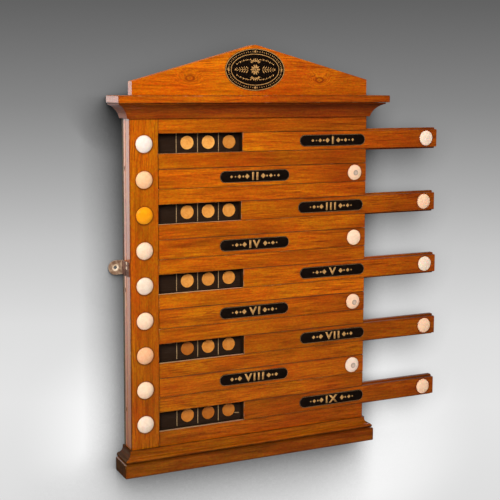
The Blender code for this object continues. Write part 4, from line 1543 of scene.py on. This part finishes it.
def addHanger():
    node = "hanging_plate_left"
    brown = brassFinish("aged_brass_brown", brassLook["brown"])
    rubbedSheen = brassFinish("aged_brass_rubbed_sheen", brassLook["rubbedSheen"])
    legBrass = brassFinish("aged_brass_leg", brassLook["leg"])
    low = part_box(node)[0]
    legX = hangerLegFace(low)
    bm = cadCopy(node)
    outer = [edge for edge in sharpEdges(bm)
             if any(fromHole(vert.co, low) >= holeLook["rim"] for vert in edge.verts)]
    easeEdges(bm, outer, hangerEase)
    for face in bm.faces:
        middle = face.calc_center_median()
        out = fromHole(middle, low)
        facing = abs(face.normal.y)
        funnel = out < holeLook["sink"] and holeLook["steep"] < facing < holeLook["level"]
        bore = out < holeLook["bore"] and facing < holeLook["steep"]
        face.material_index = 1 if funnel or bore else 2 if middle.x > legX - tiny else 0
    looks = [brown, rubbedSheen, legBrass]
    newPiece("hanging_plate_brass", bm, looks, "case", [node], smooth=35)
    for index, height in enumerate(screwLook["heights"], 1):
        screw = turned(screwShape(), -quarterTurn, "Z")
        shifted(screw, (legX, -screwLook["depth"], height))
        newPiece("hanging_plate_screw_%d" % index, screw, rubbedSheen, "case", smooth=40)


def waxFinish():
    finish = Finish("dark_wax", {"Specular IOR Level": 0.03})
    lumps = finish.noise(finish.objectPlace(), scale=600, detail=3.0)
    finish.bump(lumps, 0.0001, 0.6)
    return finish.paint(Base_Color=finish.mix(lumps, nailLook["dark"], nailLook["pale"]),
                        Roughness=0.75 + lumps * 0.2)


def addNails():
    # Old nail holes in the sides, stopped with dark wax.
    wax = waxFinish()
    for sign, side in ((-1, "left"), (1, "right")):
        plugs = []
        for height in nailLook["heights"]:
            plug = coneShape(nailLook["sides"], nailLook["taper"])
            bmesh.ops.scale(plug, verts=plug.verts, vec=nailLook["size"])
            turned(plug, quarterTurn * sign, "Y")
            place = (sign * (caseHalf + nailLook["proud"]), -nailLook["depth"], height)
            plugs.append(shifted(plug, place))
        newPiece("nail_holes_" + side, merged(plugs), wax, "case")


addHanger()
addNails()
print("fixings made")

# Camera, solved from the case's own lines in the photo. Its axis crosses the middle column
# of the photo at the row "centreLine".

shot = {
    "place": (-0.86114, -1.84140, 0.36410),
    "yaw": 0.44253,
    "pitch": 0.10368,
    "roll": 0.0041,
    "focalPixels": 1072.48,
    "imagePixels": 500,
    "centreLine": 195,
    "sensorWidth": 36,
    "nearest": 0.05,
}


def addCamera():
    yaw = shot["yaw"]
    pitch = shot["pitch"]
    roll = shot["roll"]
    forward = Vector((math.sin(yaw) * math.cos(pitch), math.cos(yaw) * math.cos(pitch), -math.sin(pitch)))
    right = Vector((math.cos(yaw), -math.sin(yaw), 0))
    up = right.cross(forward)
    tiltedRight = right * math.cos(roll) + up * math.sin(roll)
    tiltedUp = up * math.cos(roll) - right * math.sin(roll)
    lens = bpy.data.cameras.new("photo_camera")
    lens.sensor_width = shot["sensorWidth"]
    lens.lens = shot["focalPixels"] * shot["sensorWidth"] / shot["imagePixels"]
    lens.shift_y = (shot["centreLine"] - shot["imagePixels"] / 2) / shot["imagePixels"]
    lens.clip_start = shot["nearest"]
    camera = bpy.data.objects.new("photo_camera", lens)
    turn = Matrix((tiltedRight, tiltedUp, -forward)).transposed()
    camera.matrix_world = Matrix.Translation(shot["place"]) @ turn.to_4x4()
    bpy.context.scene.collection.objects.link(camera)
    bpy.context.scene.camera = camera


addCamera()

# Light and stage

stage = {
    "floorHeight": -1.1, "floorSize": 12, "floorColour": (0.72, 0.72, 0.72),
    "wallGap": 0.001, "wallSize": 8,
}
lampLook = {
    "key": {"place": (-1.8, -3.3, 1.8), "aim": (0.35, 0, -0.20), "size": 1.5, "power": 50, "spread": 90},
    "fill": {"place": (1.6, -2.4, 0.5), "aim": (0.05, 0, 0.02), "size": 1.6, "power": 2, "spread": 150},
    "top": {"place": (0.1, -0.7, 1.9), "aim": (0.05, 0, 0.02), "size": 1.0, "power": 4, "spread": 120},
}
# The backdrop fades from pale, low down, to a middle grey, with a pale glow behind the plinth.
wallLook = {
    "greys": [(0.0, 0.87), (0.20, 0.895), (0.36, 0.865), (0.52, 0.772), (0.80, 0.522), (1.0, 0.384)],
    "riseLow": -0.4003, "riseHigh": 0.0763, "glow": 0.13, "glowRise": -0.343, "glowHalfRise": 0.1145,
    "glowHalfDrift": 0.1772, "glowSoft": (1.3, 0.6), "gamma": 2.2, "leastDepth": 0.8,
    "shadowReach": 0.08, "shadowPower": 2.8, "slideShadowLess": 1.4, "topShadowLess": 1.6,
    "wideReach": 0.20, "widePower": 2.3, "shadowTilt": math.radians(45), "shadowSamples": 16,
    "besideCase": (0.25, 0.31), "overPediment": (0.335, 0.350), "belowCase": (-0.30, -0.37),
}
skyLook = {
    "front": 0.05, "behind": 0.42, "camera": 0.75,
    "glossFront": 0.006, "glossBehind": 1.85, "glossRight": 1.3,
    "patch": Vector((-0.60, -0.72, 0.35)).normalized(), "patchSoft": (0.955, 0.985), "patchLevel": 2.4,
    "turnSoft": (0.15, 0.70), "horizon": (-0.42, -0.05),
    "rightSoft": (-0.1, 0.2), "behindSoft": (-0.1, 0.4),
}


def addLamp(name, look):
    lamp = bpy.data.lights.new(name, "AREA")
    lamp.shape = "SQUARE"
    lamp.size = look["size"]
    lamp.energy = look["power"]
    lamp.spread = math.radians(look["spread"])
    holder = bpy.data.objects.new(name, lamp)
    aim = Vector(look["aim"]) - Vector(look["place"])
    facing = aim.to_track_quat("-Z", "Y").to_matrix()
    holder.matrix_world = Matrix.Translation(look["place"]) @ facing.to_4x4()
    holder.visible_camera = False
    holder.visible_glossy = False
    bpy.context.scene.collection.objects.link(holder)


def stagePlane(name, size, finish, turn, place):
    bm = bmesh.new()
    bmesh.ops.create_grid(bm, x_segments=1, y_segments=1, size=size / 2)
    turned(bm, turn, "X")
    shifted(bm, place)
    mesh = bpy.data.meshes.new(name)
    bm.to_mesh(mesh)
    bm.free()
    mesh.materials.append(finish)
    plane = bpy.data.objects.new(name, mesh)
    bpy.context.scene.collection.objects.link(plane)
    return plane


def shadeOf(finish, reach):
    # The object's own soft shade on the wall. It is cast from above, so it lies low.
    tilt = wallLook["shadowTilt"]
    values = {"Distance": reach, "Normal": finish.joined(0.0, -math.cos(tilt), math.sin(tilt))}
    return finish.node("ShaderNodeAmbientOcclusion", {"samples": wallLook["shadowSamples"]}, values, "AO")


def wallFinish():
    # It glows grey above and pale below, with the object's shade painted in. Seen from behind it is clear.
    finish = Finish("studio_wall")
    x, y, z = finish.parts(finish.objectPlace())
    eye = Vector(shot["place"])
    sine, cosine = math.sin(shot["yaw"]), math.cos(shot["yaw"])
    depth = ((x - eye.x) * sine - eye.y * cosine).atLeast(wallLook["leastDepth"])
    rise = (z - eye.z) / depth
    drift = ((x - eye.x) * cosine + eye.y * sine) / depth
    share = (rise - wallLook["riseLow"]) / (wallLook["riseHigh"] - wallLook["riseLow"])
    grey = finish.ramp(share, [(place, (level, level, level)) for place, level in wallLook["greys"]])
    across = drift / wallLook["glowHalfDrift"]
    up = (rise - wallLook["glowRise"]) / wallLook["glowHalfRise"]
    glow = ((across * across + up * up) ** 0.5).between(*wallLook["glowSoft"]) * wallLook["glow"]
    level = (grey + glow) ** wallLook["gamma"]
    # The shade is fainter beside the thin slides and over the pediment, and wider below.
    besideCase = x.between(*wallLook["besideCase"]) * wallLook["slideShadowLess"]
    nearPower = wallLook["shadowPower"] - besideCase
    nearPower = nearPower - z.between(*wallLook["overPediment"]) * wallLook["topShadowLess"]
    near = shadeOf(finish, wallLook["shadowReach"]) ** nearPower
    wide = shadeOf(finish, wallLook["wideReach"]) ** (wallLook["widePower"] - besideCase)
    below = z.between(*wallLook["belowCase"])
    level = level * ((1.0 - below) * near + below * wide)
    paint = finish.node("ShaderNodeEmission", {}, {"Color": finish.joined(level, level, level)})
    clear = finish.node("ShaderNodeBsdfTransparent", {})
    behind = finish.node("ShaderNodeNewGeometry", {}, output="Backfacing")
    both = finish.node("ShaderNodeMixShader", {}, {0: behind, 1: paint, 2: clear})
    finish.feed(finish.tree.nodes["Material Output"].inputs["Surface"], both)
    return finish.block


def floorFinish():
    finish = Finish("studio_floor", {"Roughness": 0.8, "Specular IOR Level": 0.1})
    return finish.paint(Base_Color=stage["floorColour"])


def lightWorld():
    # Soft grey light. Glossy surfaces see a pale room behind the board and a dim one in front.
    world = bpy.data.worlds.new("studio")
    world.use_nodes = True
    bpy.context.scene.world = world
    sky = Finish("studio", tree=world.node_tree)
    background = world.node_tree.nodes["Background"]
    direction = sky.node("ShaderNodeTexCoord", {}, output="Generated")
    x, y, z = sky.parts(direction)
    glossyRay = sky.node("ShaderNodeLightPath", {}, output="Is Glossy Ray")
    cameraRay = sky.node("ShaderNodeLightPath", {}, output="Is Camera Ray")
    patch = x * skyLook["patch"].x + y * skyLook["patch"].y + z * skyLook["patch"].z
    toRight = x.between(*skyLook["rightSoft"]) * (skyLook["glossRight"] - skyLook["glossBehind"])
    pale = (toRight + skyLook["glossBehind"]) * z.between(*skyLook["horizon"])
    glossy = y.between(*skyLook["turnSoft"]) * pale + skyLook["glossFront"]
    glossy = glossy + patch.between(*skyLook["patchSoft"]) * skyLook["patchLevel"]
    diffuse = y.between(*skyLook["behindSoft"]) * (skyLook["behind"] - skyLook["front"]) + skyLook["front"]
    level = glossyRay * glossy + (1.0 - glossyRay) * diffuse
    level = cameraRay * skyLook["camera"] + (1.0 - cameraRay) * level
    sky.feed(background.inputs["Color"], sky.joined(level, level, level))
    background.inputs["Strength"].default_value = 1.0


floor = stagePlane("floor", stage["floorSize"], floorFinish(), 0, (0, 0, stage["floorHeight"]))
floor.visible_glossy = False
wallMiddle = (0, stage["wallGap"], stage["floorHeight"] + stage["wallSize"] / 2)
wall = stagePlane("wall", stage["wallSize"], wallFinish(), quarterTurn, wallMiddle)
wall.visible_diffuse = False
wall.visible_glossy = False
wall.visible_shadow = False
for name, look in lampLook.items():
    addLamp(name + "_lamp", look)
lightWorld()
bpy.context.scene.view_settings.view_transform = "Standard"
print("stage and light made")
